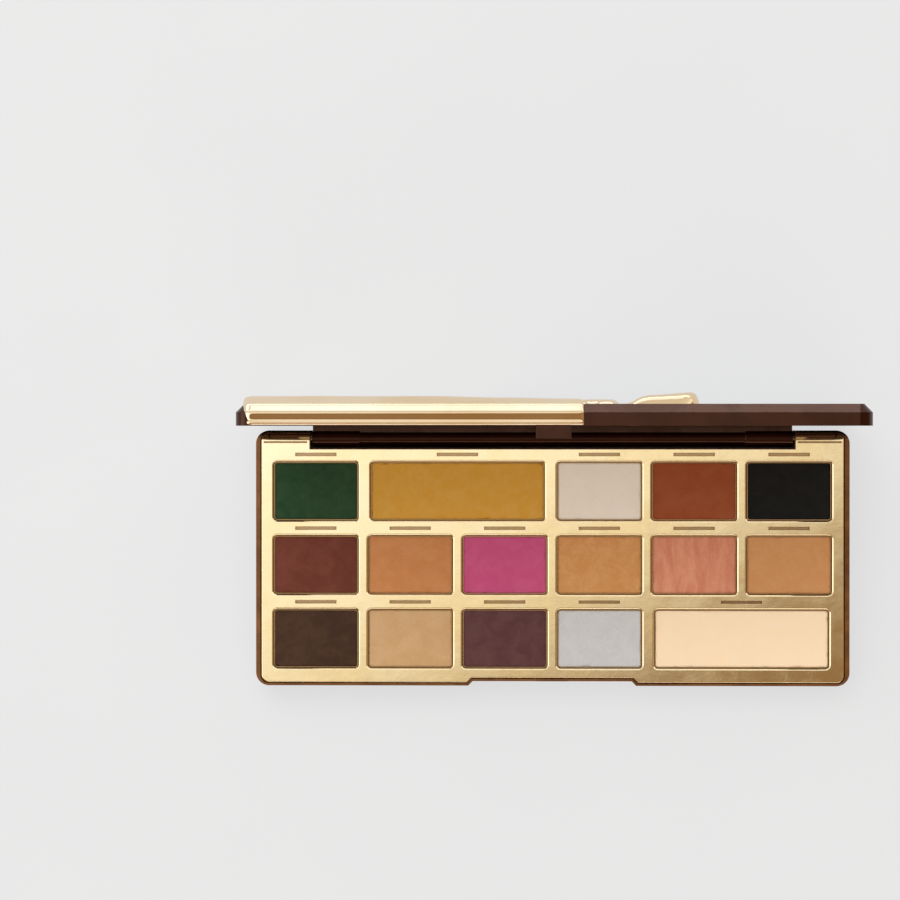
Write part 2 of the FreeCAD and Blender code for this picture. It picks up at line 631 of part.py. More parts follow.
def make_glue_dots():
    """Two dots under every pan, either side of the vent, as separate solids in one piece of the list."""
    dots = []
    for x, y, span in pan_places():
        for side in ("-", "+"):
            dot = doc.addObject("Part::Cylinder", "glue_dot")
            dot.setExpression("Radius", cells("$glue_radius"))
            dot.setExpression("Height", cells("$glue_thick"))
            place(dot, "%s %s %d * $glue_reach" % (x, side, span), y, "$well_bottom + $well_wall")
            dots.append(dot)
    group = doc.addObject("Part::Compound", "pan_glue_dots")
    group.Links = dots
    return group


def make_base_label():
    body = add_body("base_label")
    outline = add_sketch(body, "outline", "XY_Plane")
    add_round_rectangle(outline, "$label_width", "$label_depth", "$label_corner", "0", "$label_back")
    extrude(body, "Pad", "sheet", outline, "$label_thick")
    return body


def make_hinge_pin(label, start):
    body = add_body(label)
    outline = add_sketch(body, "outline", "YZ_Plane")
    add_circle(outline, "0", "0", "$pin_radius")
    extrude(body, "Pad", "rod", outline, "$pin_length")
    place(body, start, AXIS_Y, "$axis_height")
    return body


# ---------------------------------------------------------------- lid
def add_block_rows(sketch, width, depth):
    """The first column of the lid's blocks, or of the hollows behind them: one in each row."""
    x = "-%s * $block_pitch_x" % ((COLUMNS - 1) / 2)
    for row in range(ROWS):
        y = "%s + %d * $block_pitch_y" % (LID_MIDDLE, row - ROWS // 2)
        add_rectangle(sketch, width, depth, x, y)


def repeat_along_lid(body, name, feature, sketch):
    repeat(body, name, feature, (sketch, ["H_Axis"]), "block_pitch_x", COLUMNS)


def add_lid_form(body):
    """The lid's outer form: a bevelled slab with a sunk field of raised blocks."""
    outline = add_sketch(body, "outline", "XY_Plane", z=LID_LOW)
    add_round_rectangle(outline, "$case_width", "$case_depth", "$case_corner", "0", LID_MIDDLE)
    extrude(body, "Pad", "slab", outline, "$lid_thick")
    top = number(LID_LOW + " + $lid_thick")
    dress(body, "Chamfer", "bevel", lambda edge: at_height(edge, top), "$lid_bevel")
    field = add_sketch(body, "field_sketch", "XY_Plane", z=LID_LOW + " + $lid_thick")
    add_rectangle(field, "$field_width", "$field_depth", "0", LID_MIDDLE)
    extrude(body, "Pocket", "field", field, "$field_sunk")
    block = add_sketch(body, "block_sketch", "XY_Plane", z=LID_LOW + " + $lid_thick - $field_sunk")
    add_block_rows(block, "$block_x", "$block_y")
    pad = extrude(body, "Pad", "block", block, "$block_high", taper="-$block_taper")
    repeat_along_lid(body, "blocks", pad, block)


def make_lid_shell():
    body = add_body("lid_shell")
    add_lid_form(body)
    block_top = number(LID_LOW + " + $lid_thick - $field_sunk + $block_high")
    dress(body, "Fillet", "block_edges", lambda edge: at_height(edge, block_top), "$block_round")

    # recess for the mirror, with a hollow behind each block
    recess = add_sketch(body, "recess_sketch", "XY_Plane", z=LID_LOW)
    add_round_rectangle(recess, "$recess_width", "$recess_depth", "$recess_corner", "0", LID_MIDDLE)
    extrude(body, "Pocket", "recess", recess, "$recess_deep", reverse=True)
    core = add_sketch(body, "core_sketch", "XY_Plane", z=LID_LOW + " + $recess_deep")
    add_block_rows(core, "$core_x", "$core_y")
    hollow = extrude(body, "Pocket", "core", core, "$core_deep", reverse=True)
    repeat_along_lid(body, "cores", hollow, core)

    # hinge: a flange down from the rear wall to a barrel with a thicker knuckle at each end
    flange = add_sketch(body, "flange_sketch", "YZ_Plane")
    inner, high = "$axis_inset - $flange_thick", LID_LOW + " + $root"
    add_polygon(flange, [(inner, "0"), ("$axis_inset", "0"), ("$axis_inset", high), (inner, high)])
    extrude(body, "Pad", "flange", flange, "2 * $barrel_half", both_ways=True)
    thin = add_sketch(body, "thin_barrel_sketch", "YZ_Plane")
    add_circle(thin, "0", "0", "$barrel_thin")
    thin_half = "($barrel_half - $knuckle_length + $overrun)"
    extrude(body, "Pad", "thin_barrel", thin, "2 * " + thin_half, both_ways=True)
    for label, start in (("left", "-$barrel_half"), ("right", "$barrel_half - $knuckle_length")):
        knuckle = add_sketch(body, label + "_knuckle_sketch", "YZ_Plane", z=start)
        add_circle(knuckle, "0", "0", "$barrel_radius")
        extrude(body, "Pad", label + "_knuckle", knuckle, "$knuckle_length")
    bore_length = "$barrel_half + $overrun + $bore_spare - (%s)" % PIN_START
    for label, start in (("left", "-$barrel_half - $overrun"), ("right", PIN_START + " - $bore_spare")):
        bore = add_sketch(body, label + "_bore_sketch", "YZ_Plane", z=start)
        add_circle(bore, "0", "0", "$pin_radius + $pin_run")
        extrude(body, "Pocket", label + "_bore", bore, bore_length, reverse=True)

    # snap tab at the front edge, with a bead inside
    tab = add_sketch(body, "tab_sketch", "YZ_Plane")
    outer, inner = "$axis_inset - $case_depth", "$axis_inset - $case_depth + $tab_thick"
    end = LID_LOW + " - $tab_long"
    bead = end + " + $tab_bead_up"
    add_polygon(tab, [
        (outer, end), (inner, end), (inner, bead + " - $click_half"), (inner + " + $tab_bead", bead),
        (inner, bead + " + $click_half"), (inner, high), (outer, high)])
    extrude(body, "Pad", "tab", tab, "$tab_width", both_ways=True)
    place_on_hinge(body)
    return body


def make_drip_cover():
    """The raised cover: a plain field, a slanting shoulder and drips, fitted to the lid's outer form."""
    form = add_body("lid_form")
    add_lid_form(form)
    body = add_body("cover_form")
    low, high = LID_LOW + " + $cover_skirt", "$cover_top - $cover_skirt"
    front, back = LID_MIDDLE + " - $case_depth / 2 - $cover_proud", "$axis_inset + $cover_proud"

    field = add_sketch(body, "field_sketch", "XY_Plane", z=low)
    add_polygon(field, [("$cover_left", front), ("$cover_field", front), ("$cover_field", back),
                        ("$cover_left", back)])
    extrude(body, "Pad", "field", field, high)
    left, right = number("$cover_left"), number("$cover_field")

    def upright_left(edge):
        box = edge.BoundBox
        return near(box.ZLength, number(high)) and near(box.XMin, left) and near(box.XMax, left)
    dress(body, "Fillet", "corners", upright_left, "$cover_corner")
    top = number(LID_LOW + " + $cover_top")

    def outer_top(edge):
        box = edge.BoundBox
        return at_height(edge, top) and not (near(box.XMin, right) and near(box.XMax, right))
    dress(body, "Chamfer", "field_edges", outer_top, "$cover_bevel")

    drip_high = "$drip_top - $cover_skirt"
    root = "$cover_field - $cover_root"
    band_front, band_back = front + " + $cover_inset", "$band_back - (%s)" % AXIS_Y
    band = add_sketch(body, "front_band_sketch", "XY_Plane", z=low)
    add_polygon(band, [(root, band_front), ("$band_end", band_front), ("$band_end", band_back),
                       (root, band_back)])
    extrude(body, "Pad", "front_band", band, drip_high + " - $band_step")
    corners = [("$shoulder_x%d" % n, "$shoulder_y%d - (%s)" % (n, AXIS_Y)) for n in range(len(SHOULDER))]
    shoulder_front, shoulder_back = corners[0][1], back + " - $cover_inset"
    shoulder = add_sketch(body, "shoulder_sketch", "XY_Plane", z=low)
    add_polygon(shoulder, [(root, shoulder_front)] + corners + [
        ("$shoulder_end", shoulder_back), (root, shoulder_back)])
    extrude(body, "Pad", "shoulder", shoulder, drip_high + " - $shoulder_step")
    for name, highest in [(drip[0], drip[5]) for drip in DRIPS]:
        drip = add_sketch(body, name + "_sketch", "XY_Plane", z=low)
        add_slot(drip, "$%s_start" % name, "$%s_end" % name, "$%s_middle - (%s)" % (name, AXIS_Y),
                 "$%s_half" % name)
        extrude(body, "Pad", name, drip, "$%s - $cover_skirt" % highest)

    cover = doc.addObject("Part::Cut", "gold_drip_cover")
    cover.Base = body
    cover.Tool = form
    place_on_hinge(cover)
    return cover


def make_mirror_frame():
    body = add_body("mirror_frame")
    low = LID_LOW + " + $recess_deep - $frame_thick"
    outline = add_sketch(body, "outline", "XY_Plane", z=low)
    add_round_rectangle(outline, "$recess_width - 2 * $frame_gap", "$recess_depth - 2 * $frame_gap",
                        "$recess_corner - $frame_gap", "0", LID_MIDDLE)
    extrude(body, "Pad", "plate", outline, "$frame_thick")
    seat = add_sketch(body, "seat_sketch", "XY_Plane", z=low + " + $frame_lip")
    add_round_rectangle(seat, "$mirror_width + 2 * $mirror_gap", "$mirror_depth + 2 * $mirror_gap",
                        "$mirror_corner", "0", LID_MIDDLE)
    extrude(body, "Pocket", "seat", seat, "$frame_thick - $frame_lip", reverse=True)
    window = add_sketch(body, "window_sketch", "XY_Plane", z=low)
    add_round_rectangle(window, "$mirror_width - 2 * $mirror_cover", "$mirror_depth - 2 * $mirror_cover",
                        "$mirror_corner", "0", LID_MIDDLE)
    extrude(body, "Pocket", "window", window, "$frame_lip", reverse=True)
    dress(body, "Fillet", "edge", lambda edge: at_height(edge, number(low)), "$frame_lip / 2")
    place_on_hinge(body)
    return body


def make_mirror_plate(label, low, width, depth, thick):
    """The mirror or the tape behind it."""
    body = add_body(label)
    outline = add_sketch(body, "outline", "XY_Plane", z=low)
    add_round_rectangle(outline, width, depth, "$mirror_corner", "0", LID_MIDDLE)
    extrude(body, "Pad", "plate", outline, thick)
    place_on_hinge(body)
    return body


MIRROR_LOW = LID_LOW + " + $recess_deep - $frame_thick + $frame_lip"
TAPE_THICK = "$frame_thick - $frame_lip - $mirror_thick"

parts = [make_base_shell(), make_gold_insert(), make_glue_dots(), make_base_label()]
parts.append(make_hinge_pin("hinge_pin_left", "-(%s) - $pin_length" % PIN_START))
parts.append(make_hinge_pin("hinge_pin_right", PIN_START))
for shade in SHADES:
    parts.append(make_pan(*shade))
    parts.append(make_powder(*shade))
parts += [make_lid_shell(), make_drip_cover(), make_mirror_frame()]
parts.append(make_mirror_plate("mirror", MIRROR_LOW, "$mirror_width", "$mirror_depth", "$mirror_thick"))
parts.append(make_mirror_plate("mirror_tape", MIRROR_LOW + " + $mirror_thick",
                               "$mirror_width - 2 * $tape_margin", "$mirror_depth - 2 * $tape_margin",
                               TAPE_THICK))
doc.recompute()

# ---------------------------------------------------------------- checks and files
for item in doc.Objects:
    if "Invalid" in item.State or "Error" in item.State:
        raise RuntimeError("%s failed: %s" % (item.Name, item.State))
for feature, before, after, kind in volume_changes:
    grew = after > before + LEAST_VOLUME
    shrank = after < before - LEAST_VOLUME
    if (kind == "Pad" and not grew) or (kind == "Pocket" and not shrank):
        raise RuntimeError("%s changed nothing: %.3f to %.3f" % (feature.Name, before, after))
os.makedirs("parts", exist_ok=True)
for piece in parts:
    shape = piece.Shape
    if shape.isNull() or not shape.isValid():
        raise RuntimeError(piece.Label + " has no valid shape")
    box = shape.BoundBox
    print("%-22s %2d solid(s) %9.1f mm3  x %.2f..%.2f y %.2f..%.2f z %.2f..%.2f" % (
        piece.Label, len(shape.Solids), shape.Volume,
        box.XMin, box.XMax, box.YMin, box.YMax, box.ZMin, box.ZMax))
    shape.exportStep("parts/%s.step" % piece.Label)
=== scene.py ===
"""Looks for the eyeshadow palette: materials for the CAD pieces, the melted gold cover and the powders.

Lengths are in millimetres in names that end in _mm and in the sections of the powders and the cover.
Meshes, the stage, the lights and the camera are in metres.
"""
import math

import bmesh
import bpy
import numpy as np
from mathutils import Matrix, Vector, noise


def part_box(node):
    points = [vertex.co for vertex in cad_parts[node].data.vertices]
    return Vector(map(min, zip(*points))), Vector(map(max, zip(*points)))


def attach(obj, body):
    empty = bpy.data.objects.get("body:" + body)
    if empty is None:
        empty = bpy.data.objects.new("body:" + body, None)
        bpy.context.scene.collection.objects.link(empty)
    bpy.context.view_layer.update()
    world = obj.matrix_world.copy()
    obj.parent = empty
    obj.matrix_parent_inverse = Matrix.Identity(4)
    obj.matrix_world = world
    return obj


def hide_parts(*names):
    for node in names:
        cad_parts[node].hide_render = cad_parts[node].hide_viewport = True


MM = 0.001
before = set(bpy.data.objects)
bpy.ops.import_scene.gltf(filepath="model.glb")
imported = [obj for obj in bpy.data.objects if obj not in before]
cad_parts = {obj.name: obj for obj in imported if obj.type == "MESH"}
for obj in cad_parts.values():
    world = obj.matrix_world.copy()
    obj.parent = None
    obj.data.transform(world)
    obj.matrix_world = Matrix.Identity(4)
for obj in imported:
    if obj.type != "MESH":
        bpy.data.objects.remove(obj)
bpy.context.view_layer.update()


# ---------------------------------------------------------------- material helpers
def rgb(red, green, blue):
    """An 8-bit display colour as linear values."""
    linear = []
    for channel in (red, green, blue):
        c = channel / 255.0
        linear.append(c / 12.92 if c <= 0.04045 else ((c + 0.055) / 1.055) ** 2.4)
    return (*linear, 1.0)


def scaled(colour, factor):
    """A colour made darker or lighter, at most 1 in each channel."""
    return (*[min(1.0, c * factor) for c in colour[:3]], 1.0)


class Paint:
    """One material's node tree, with short ways of adding to it."""

    def __init__(self, name):
        self.material = bpy.data.materials.new(name)
        self.material.use_nodes = True
        self.tree = self.material.node_tree
        self.shader = self.tree.nodes["Principled BSDF"]
        self.place = self.add("ShaderNodeTexCoord").outputs["Object"]

    def add(self, kind, **properties):
        node = self.tree.nodes.new(kind)
        for name, value in properties.items():
            setattr(node, name, value)
        return node

    def put(self, socket, value):
        """Sets a socket to a number or colour, or links another socket to it."""
        if isinstance(value, bpy.types.NodeSocket):
            self.tree.links.new(value, socket)
        else:
            socket.default_value = value

    def set(self, **values):
        for name, value in values.items():
            self.put(self.shader.inputs[name.replace("_", " ")], value)

    def stretched(self, x=1.0, y=1.0, z=1.0, turn=0.0):
        """The object's coordinates, turned and scaled: a small factor gives long grain along that axis."""
        turned = self.add("ShaderNodeMapping")
        self.put(turned.inputs["Vector"], self.place)
        turned.inputs["Rotation"].default_value = (turn, 0.7 * turn, turn)
        mapping = self.add("ShaderNodeMapping")
        self.put(mapping.inputs["Vector"], turned.outputs["Vector"])
        mapping.inputs["Scale"].default_value = (x, y, z)
        return mapping.outputs["Vector"]

    def noise(self, size_mm, detail=3.0, rough=0.5, warp=0.0, place=None):
        node = self.add("ShaderNodeTexNoise")
        self.put(node.inputs["Vector"], self.place if place is None else place)
        node.inputs["Scale"].default_value = 1.0 / (size_mm * MM)
        node.inputs["Detail"].default_value = detail
        node.inputs["Roughness"].default_value = rough
        node.inputs["Distortion"].default_value = warp
        return node.outputs["Fac"]

    def cells(self, size_mm, output="Color"):
        node = self.add("ShaderNodeTexVoronoi")
        self.put(node.inputs["Vector"], self.place)
        node.inputs["Scale"].default_value = 1.0 / (size_mm * MM)
        return node.outputs[output]

    def calc(self, operation, a, b=0.0):
        node = self.add("ShaderNodeMath", operation=operation)
        self.put(node.inputs[0], a)
        self.put(node.inputs[1], b)
        return node.outputs[0]

    def span(self, value, low, high, to_low=0.0, to_high=1.0):
        """Value from low..high mapped smoothly to to_low..to_high."""
        node = self.add("ShaderNodeMapRange", interpolation_type="SMOOTHSTEP")
        for index, entry in enumerate((value, low, high, to_low, to_high)):
            self.put(node.inputs[index], entry)
        return node.outputs["Result"]

    def mix(self, share, a, b):
        node = self.add("ShaderNodeMix", data_type="RGBA")
        self.put(node.inputs[0], share)
        self.put(node.inputs[6], a)
        self.put(node.inputs[7], b)
        return node.outputs[2]

    def bump(self, height, depth_mm, after=None, strength=1.0):
        node = self.add("ShaderNodeBump")
        node.inputs["Strength"].default_value = strength
        node.inputs["Distance"].default_value = depth_mm * MM
        self.put(node.inputs["Height"], height)
        if after is not None:
            self.put(node.inputs["Normal"], after)
        return node.outputs["Normal"]

    def round_normal(self, radius_mm):
        """The normal with sharp edges softened."""
        node = self.add("ShaderNodeBevel", samples=4)
        node.inputs["Radius"].default_value = radius_mm * MM
        return node.outputs["Normal"]

    def edges(self, radius_mm):
        """1 on sharp edges, 0 on flat faces."""
        dot = self.add("ShaderNodeVectorMath", operation="DOT_PRODUCT")
        self.put(dot.inputs[0], self.round_normal(radius_mm))
        self.put(dot.inputs[1], self.add("ShaderNodeNewGeometry").outputs["True Normal"])
        return self.span(dot.outputs["Value"], 0.985, 0.8)

    def corners(self, reach_mm):
        """1 deep in corners and grooves, 0 in the open."""
        node = self.add("ShaderNodeAmbientOcclusion", samples=6, only_local=True)
        node.inputs["Distance"].default_value = reach_mm * MM
        return self.span(node.outputs["AO"], 0.82, 0.4)


def wear(paint, worn, plain, radius_mm, patch_mm, amount):
    """Plain colour, turning to the worn one in patches along the edges."""
    patches = paint.span(paint.noise(patch_mm, 4.0, 0.6), 0.42, 0.68)
    share = paint.calc("MULTIPLY", paint.edges(radius_mm), patches)
    return paint.mix(paint.calc("MULTIPLY", share, amount), plain, worn)


def scratches(paint, length, width_mm, low):
    """Sparse hairlines in three slanting directions, 1 on a scratch."""
    total = None
    for turn, rarer in ((0.55, 0.0), (-0.8, 0.02), (1.9, 0.03)):
        grain = paint.noise(width_mm, 2.0, 0.4, 0.3, paint.stretched(1.0, length, 1.0, turn))
        line = paint.span(grain, low + rarer, low + rarer + 0.08)
        total = line if total is None else paint.calc("MAXIMUM", total, line)
    return total


# ---------------------------------------------------------------- materials
# In metres: the depth at which the insert's recessed bars turn brown, the height over which they do, and
# the height below the case's rim over which its painted highlight comes in.
SUNK_FROM = 0.00015
SUNK_FADE = 0.0002
RIM_HIGHLIGHT_FADE = 0.0006
# The painted shade in the gold's corners and grooves, and the dark brown of the recessed bars.
CORNER_SHADE_AND_BAR_BROWN = (0.26, 0.145, 0.062, 1)


def chocolate(name, worn_and_highlit, worn_amount, highlit_rim_height=None):
    """Gloss dark brown moulded plastic; along the top of a rim at the given height, in metres, the worn
    colour is also painted on unevenly as a painted highlight.
    """
    paint = Paint(name)
    deep, warm = (0.011, 0.0022, 0.0012, 1), (0.021, 0.0047, 0.0024, 1)
    swirl = paint.noise(16.0, 4.0, 0.55, 1.2)
    colour = paint.mix(paint.span(swirl, 0.3, 0.7), deep, warm)
    colour = wear(paint, worn_and_highlit, colour, 0.35, 5.0, worn_amount)
    if highlit_rim_height is not None:
        split = paint.add("ShaderNodeSeparateXYZ")
        paint.put(split.inputs[0], paint.place)
        # Painted highlight: the top of the rim is given the worn colour, unevenly.
        rim = paint.span(split.outputs["Z"], highlit_rim_height - RIM_HIGHLIGHT_FADE, highlit_rim_height)
        uneven = paint.span(paint.noise(7.0, 4.0, 0.6), 0.3, 0.7, 0.45, 0.85)
        colour = paint.mix(paint.calc("MULTIPLY", rim, uneven), colour, worn_and_highlit)
    dust = paint.span(paint.cells(0.9, "Distance"), 0.09, 0.03)
    speck = paint.calc("MULTIPLY", dust, paint.span(paint.noise(4.0), 0.6, 0.7))
    colour = paint.mix(paint.calc("MULTIPLY", speck, 0.35), colour, (0.5, 0.38, 0.27, 1))
    smudge = paint.span(paint.noise(11.0, 3.0, 0.6, 0.8), 0.4, 0.75, 0.0, 0.08)
    lines = scratches(paint, 0.04, 0.5, 0.66)
    rough = paint.calc("ADD", paint.calc("ADD", smudge, 0.10), paint.calc("MULTIPLY", lines, 0.08))
    peel = paint.bump(paint.noise(2.2, 2.0), 0.006, paint.round_normal(0.18))
    paint.set(Base_Color=colour, Roughness=rough, Normal=paint.bump(lines, 0.003, peel, 0.3),
              Specular_IOR_Level=0.5, Specular_Tint=(1.0, 0.55, 0.42, 1))
    return paint.material


def gold(name, bright, shade, rough, worn_amount, sunk_below=None):
    """Vacuum-metallised gold on plastic: satin, with faint clouds, hairlines and worn edges.

    Corners and grooves are darkened as painted shade, and what lies below the height sunk_below, in metres,
    is coloured dark brown.
    """
    paint = Paint(name)
    cloud = paint.noise(26.0, 4.0, 0.5, 0.7)
    colour = paint.mix(paint.span(cloud, 0.32, 0.7), shade, bright)
    grain = paint.noise(0.5, 2.0, 0.6)
    colour = paint.mix(paint.span(grain, 0.25, 0.8, 0.0, 0.12), colour, scaled(shade, 0.82))
    colour = wear(paint, (0.42, 0.25, 0.13, 1), colour, 0.3, 3.0, worn_amount)
    # Painted shade: the colour darkens deep in corners and grooves, found by ambient occlusion.
    colour = paint.mix(paint.calc("MULTIPLY", paint.corners(1.0), 0.8), colour, CORNER_SHADE_AND_BAR_BROWN)
    if sunk_below is not None:
        split = paint.add("ShaderNodeSeparateXYZ")
        paint.put(split.inputs[0], paint.place)
        sunk = paint.span(split.outputs["Z"], sunk_below, sunk_below - SUNK_FADE)
        colour = paint.mix(paint.calc("MULTIPLY", sunk, 0.75), colour, CORNER_SHADE_AND_BAR_BROWN)
    smudge = paint.span(paint.noise(9.0, 4.0, 0.6, 1.0), 0.42, 0.78, 0.0, 0.05)
    lines = scratches(paint, 0.03, 0.4, 0.67)
    total = paint.calc("ADD", paint.calc("ADD", smudge, rough), paint.calc("MULTIPLY", lines, 0.06))
    ripple = paint.bump(paint.noise(7.0, 2.0, 0.45), 0.02, paint.round_normal(0.15))
    fine = paint.bump(paint.noise(0.6, 2.0), 0.0022, ripple)
    paint.set(Base_Color=colour, Metallic=1.0, Roughness=total, Normal=paint.bump(lines, 0.001, fine, 0.2))
    return paint.material


def tinplate():
    """Thin sheet metal with a warm gold lacquer."""
    paint = Paint("pan_tinplate")
    brushed = paint.noise(0.35, 3.0, 0.6, 0.0, paint.stretched(0.05, 1.0, 1.0))
    colour = paint.mix(brushed, (0.34, 0.21, 0.10, 1), (0.55, 0.37, 0.19, 1))
    stain = paint.span(paint.noise(5.0, 4.0, 0.6), 0.55, 0.75, 0.0, 0.35)
    colour = paint.mix(stain, colour, (0.20, 0.11, 0.05, 1))
    paint.set(Base_Color=colour, Metallic=1.0, Roughness=paint.span(brushed, 0.2, 0.8, 0.22, 0.42),
              Normal=paint.bump(brushed, 0.006))
    return paint.material


def mirror_glass():
    """Silvered glass with faint smears and a little powder dust."""
    paint = Paint("mirror_glass")
    smear = paint.span(paint.noise(18.0, 4.0, 0.6, 1.5), 0.5, 0.8, 0.0, 0.09)
    dust = paint.span(paint.cells(1.6, "Distance"), 0.07, 0.02)
    faint = paint.calc("MULTIPLY", dust, paint.span(paint.noise(6.0), 0.55, 0.7))
    colour = paint.mix(paint.calc("MULTIPLY", faint, 0.4), (0.86, 0.88, 0.89, 1), (0.7, 0.6, 0.5, 1))
    paint.set(Base_Color=colour, Metallic=1.0, Roughness=paint.calc("ADD", smear, 0.015),
              Normal=paint.bump(paint.noise(30.0, 1.0), 0.01))
    return paint.material


def steel():
    """Drawn steel wire, grained along its length."""
    paint = Paint("pin_steel")
    drawn = paint.noise(0.12, 3.0, 0.6, 0.0, paint.stretched(0.02, 1.0, 1.0))
    colour = paint.mix(drawn, (0.36, 0.35, 0.34, 1), (0.62, 0.61, 0.60, 1))
    paint.set(Base_Color=colour, Metallic=1.0, Roughness=paint.span(drawn, 0.2, 0.8, 0.2, 0.4),
              Normal=paint.bump(drawn, 0.004))
    return paint.material


def paper():
    """Uncoated sticker paper, a little grubby."""
    paint = Paint("label_paper")
    fibre = paint.noise(0.25, 5.0, 0.7, 0.4, paint.stretched(0.5, 1.0, 1.0))
    colour = paint.mix(fibre, (0.66, 0.62, 0.54, 1), (0.80, 0.77, 0.71, 1))
    grubby = paint.span(paint.noise(9.0, 4.0, 0.6), 0.5, 0.8, 0.0, 0.3)
    colour = paint.mix(grubby, colour, (0.55, 0.45, 0.34, 1))
    paint.set(Base_Color=colour, Roughness=paint.span(fibre, 0.2, 0.8, 0.6, 0.85),
              Normal=paint.bump(fibre, 0.02))
    return paint.material


def foam(name, light, dark, pore_mm):
    """Open pores, with painted shade in their pits: foam tape, or hot glue with larger bubbles."""
    paint = Paint(name)
    pores = paint.cells(pore_mm, "Distance")
    # Painted shade: each pore is darker towards its middle, where it is deepest.
    colour = paint.mix(paint.span(pores, 0.05, 0.5), dark, light)
    colour = paint.mix(paint.span(paint.noise(6.0, 3.0), 0.35, 0.7, 0.0, 0.3), colour, dark)
    paint.set(Base_Color=colour, Roughness=paint.span(pores, 0.0, 0.6, 0.9, 0.65),
              Normal=paint.bump(pores, 0.05))
    return paint.material


def powder_paint(name, colour, mottle, amount, size_mm, shimmer, streak):
    """Pressed powder: fine grain, soft mottling, and flakes of mica in the shimmering ones."""
    paint = Paint("powder_" + name)
    place = paint.stretched(1.0, 0.22, 1.0) if streak else paint.place
    blotch = paint.noise(size_mm, 5.0, 0.62, 0.6, place)
    mixed = paint.mix(paint.span(blotch, 0.34, 0.68, 0.0, amount), colour, mottle)
    grain = paint.noise(0.22, 4.0, 0.7)
    mixed = paint.mix(paint.span(grain, 0.3, 0.75, 0.0, 0.22), mixed, scaled(colour, 0.72))
    pale = paint.mix(0.35, colour, (0.9, 0.84, 0.76, 1))
    crumbs = paint.span(paint.cells(0.55, "Distance"), 0.16, 0.05)
    crumbs = paint.calc("MULTIPLY", crumbs, paint.span(paint.noise(2.6, 2.0), 0.56, 0.66))
    mixed = paint.mix(paint.calc("MULTIPLY", crumbs, 0.28), mixed, pale)
    rough, metal = paint.span(grain, 0.2, 0.8, 0.78, 0.95), 0.0
    if shimmer:
        flake = paint.add("ShaderNodeSeparateColor")
        paint.put(flake.inputs[0], paint.cells(0.20))
        bright = paint.span(flake.outputs[0], 1.0 - 0.30 * shimmer, 1.0)
        mixed = paint.mix(paint.calc("MULTIPLY", bright, 0.22), mixed, scaled(mottle, 1.5))
        rough = paint.mix(bright, paint.span(grain, 0.2, 0.8, 0.55, 0.7), (0.42, 0.42, 0.42, 1))
        metal = paint.calc("MULTIPLY", bright, 0.25 * shimmer)
    press = paint.bump(paint.noise(3.5, 3.0, 0.5), 0.03)
    paint.set(Base_Color=mixed, Roughness=rough, Metallic=metal,
              Normal=paint.bump(grain, 0.022, press), Specular_IOR_Level=0.28)
    return paint.material


# ---------------------------------------------------------------- pressed powders
# Shade: colour, mottling colour, how much, size of the mottling in mm, shimmer, streaks along the pan.
POWDERS = {
    "forest_green": (rgb(20, 61, 31), rgb(48, 78, 50), 0.5, 5.0, 0.2, False),
    "ochre_gold": (rgb(216, 161, 58), rgb(222, 174, 88), 0.5, 4.0, 0.7, False),
    "ivory": (rgb(246, 240, 233), rgb(252, 248, 242), 0.5, 6.0, 0.3, False),
    "rust": (rgb(153, 76, 44), rgb(165, 94, 62), 0.5, 5.0, 0.0, False),
    "black": (rgb(14, 15, 16), rgb(27, 27, 26), 0.5, 5.0, 0.0, False),
    "maroon": (rgb(104, 52, 42), rgb(122, 68, 56), 0.6, 5.0, 0.0, False),
    "amber": (rgb(198, 132, 80), rgb(208, 150, 102), 0.5, 5.0, 0.25, False),
    "magenta": (rgb(198, 82, 134), rgb(207, 100, 148), 0.5, 5.0, 0.0, False),
    "tan": (rgb(206, 146, 88), rgb(220, 170, 118), 0.55, 3.5, 0.45, False),
    "rose": (rgb(206, 130, 104), rgb(228, 164, 134), 0.75, 3.0, 0.5, True),
    "caramel": (rgb(203, 146, 94), rgb(212, 160, 112), 0.5, 5.0, 0.25, False),
    "cocoa": (rgb(62, 42, 32), rgb(82, 58, 45), 0.6, 5.0, 0.0, False),
    "beige": (rgb(200, 163, 119), rgb(212, 181, 141), 0.5, 5.0, 0.25, False),
    "plum": (rgb(88, 55, 58), rgb(104, 72, 74), 0.6, 5.0, 0.0, False),
    "silver": (rgb(198, 203, 210), rgb(214, 218, 223), 0.4, 3.5, 0.6, False),
    "cream": (rgb(255, 233, 202), rgb(255, 240, 214), 0.5, 6.0, 0.0, False),
}
# A pressed cake, in mm: corner radius, mesh step, height of its dome, and its closer steps at the edges.
POWDER_CORNER = 0.8
POWDER_STEP = 0.36
POWDER_DOME = 0.10
EDGE_STEPS = (0.0, 0.05, 0.14, 0.3, 0.55)
# How far in the rounded edge and its chips reach, in mm, and the unevenness past which it is chipped.
SOFT_EDGE = 0.16
CHIP_REACH = 0.4
CHIP_LEVEL = 0.28
# Kinds of unevenness of a cake's top: cells per mm, and the step between the seeds of two cakes.
CRUMBLE, FINE, WAVE, PITS = (0.55, 7.3), (2.1, 3.1), (0.16, 5.7), (1.3, 2.3)


def graded(half, step):
    """Positions from -half to half, a step apart, closing up towards both ends."""
    inner = half - EDGE_STEPS[-1]
    count = max(2, round(2 * inner / step))
    middle = np.linspace(-inner, inner, count + 1)
    low = [-half + s for s in EDGE_STEPS[:-1]]
    return np.array(low + list(middle) + [-x for x in reversed(low)])


def into_corner(x, y, half_x, half_y, radius):
    """Moves a point of a rectangle's corner square into the quarter circle that rounds it."""
    over_x, over_y = abs(x) - (half_x - radius), abs(y) - (half_y - radius)
    if over_x <= 0 or over_y <= 0:
        return x, y
    length = math.hypot(over_x, over_y)
    share = max(over_x, over_y) / length
    return (math.copysign(half_x - radius + over_x * share, x),
            math.copysign(half_y - radius + over_y * share, y))


def cake_noise(x, y, seed, kind):
    """One kind of unevenness at a point of a cake, from -1 to 1."""
    cells_per_mm, seed_step = kind
    return noise.noise(Vector((x * cells_per_mm, y * cells_per_mm, seed * seed_step)))


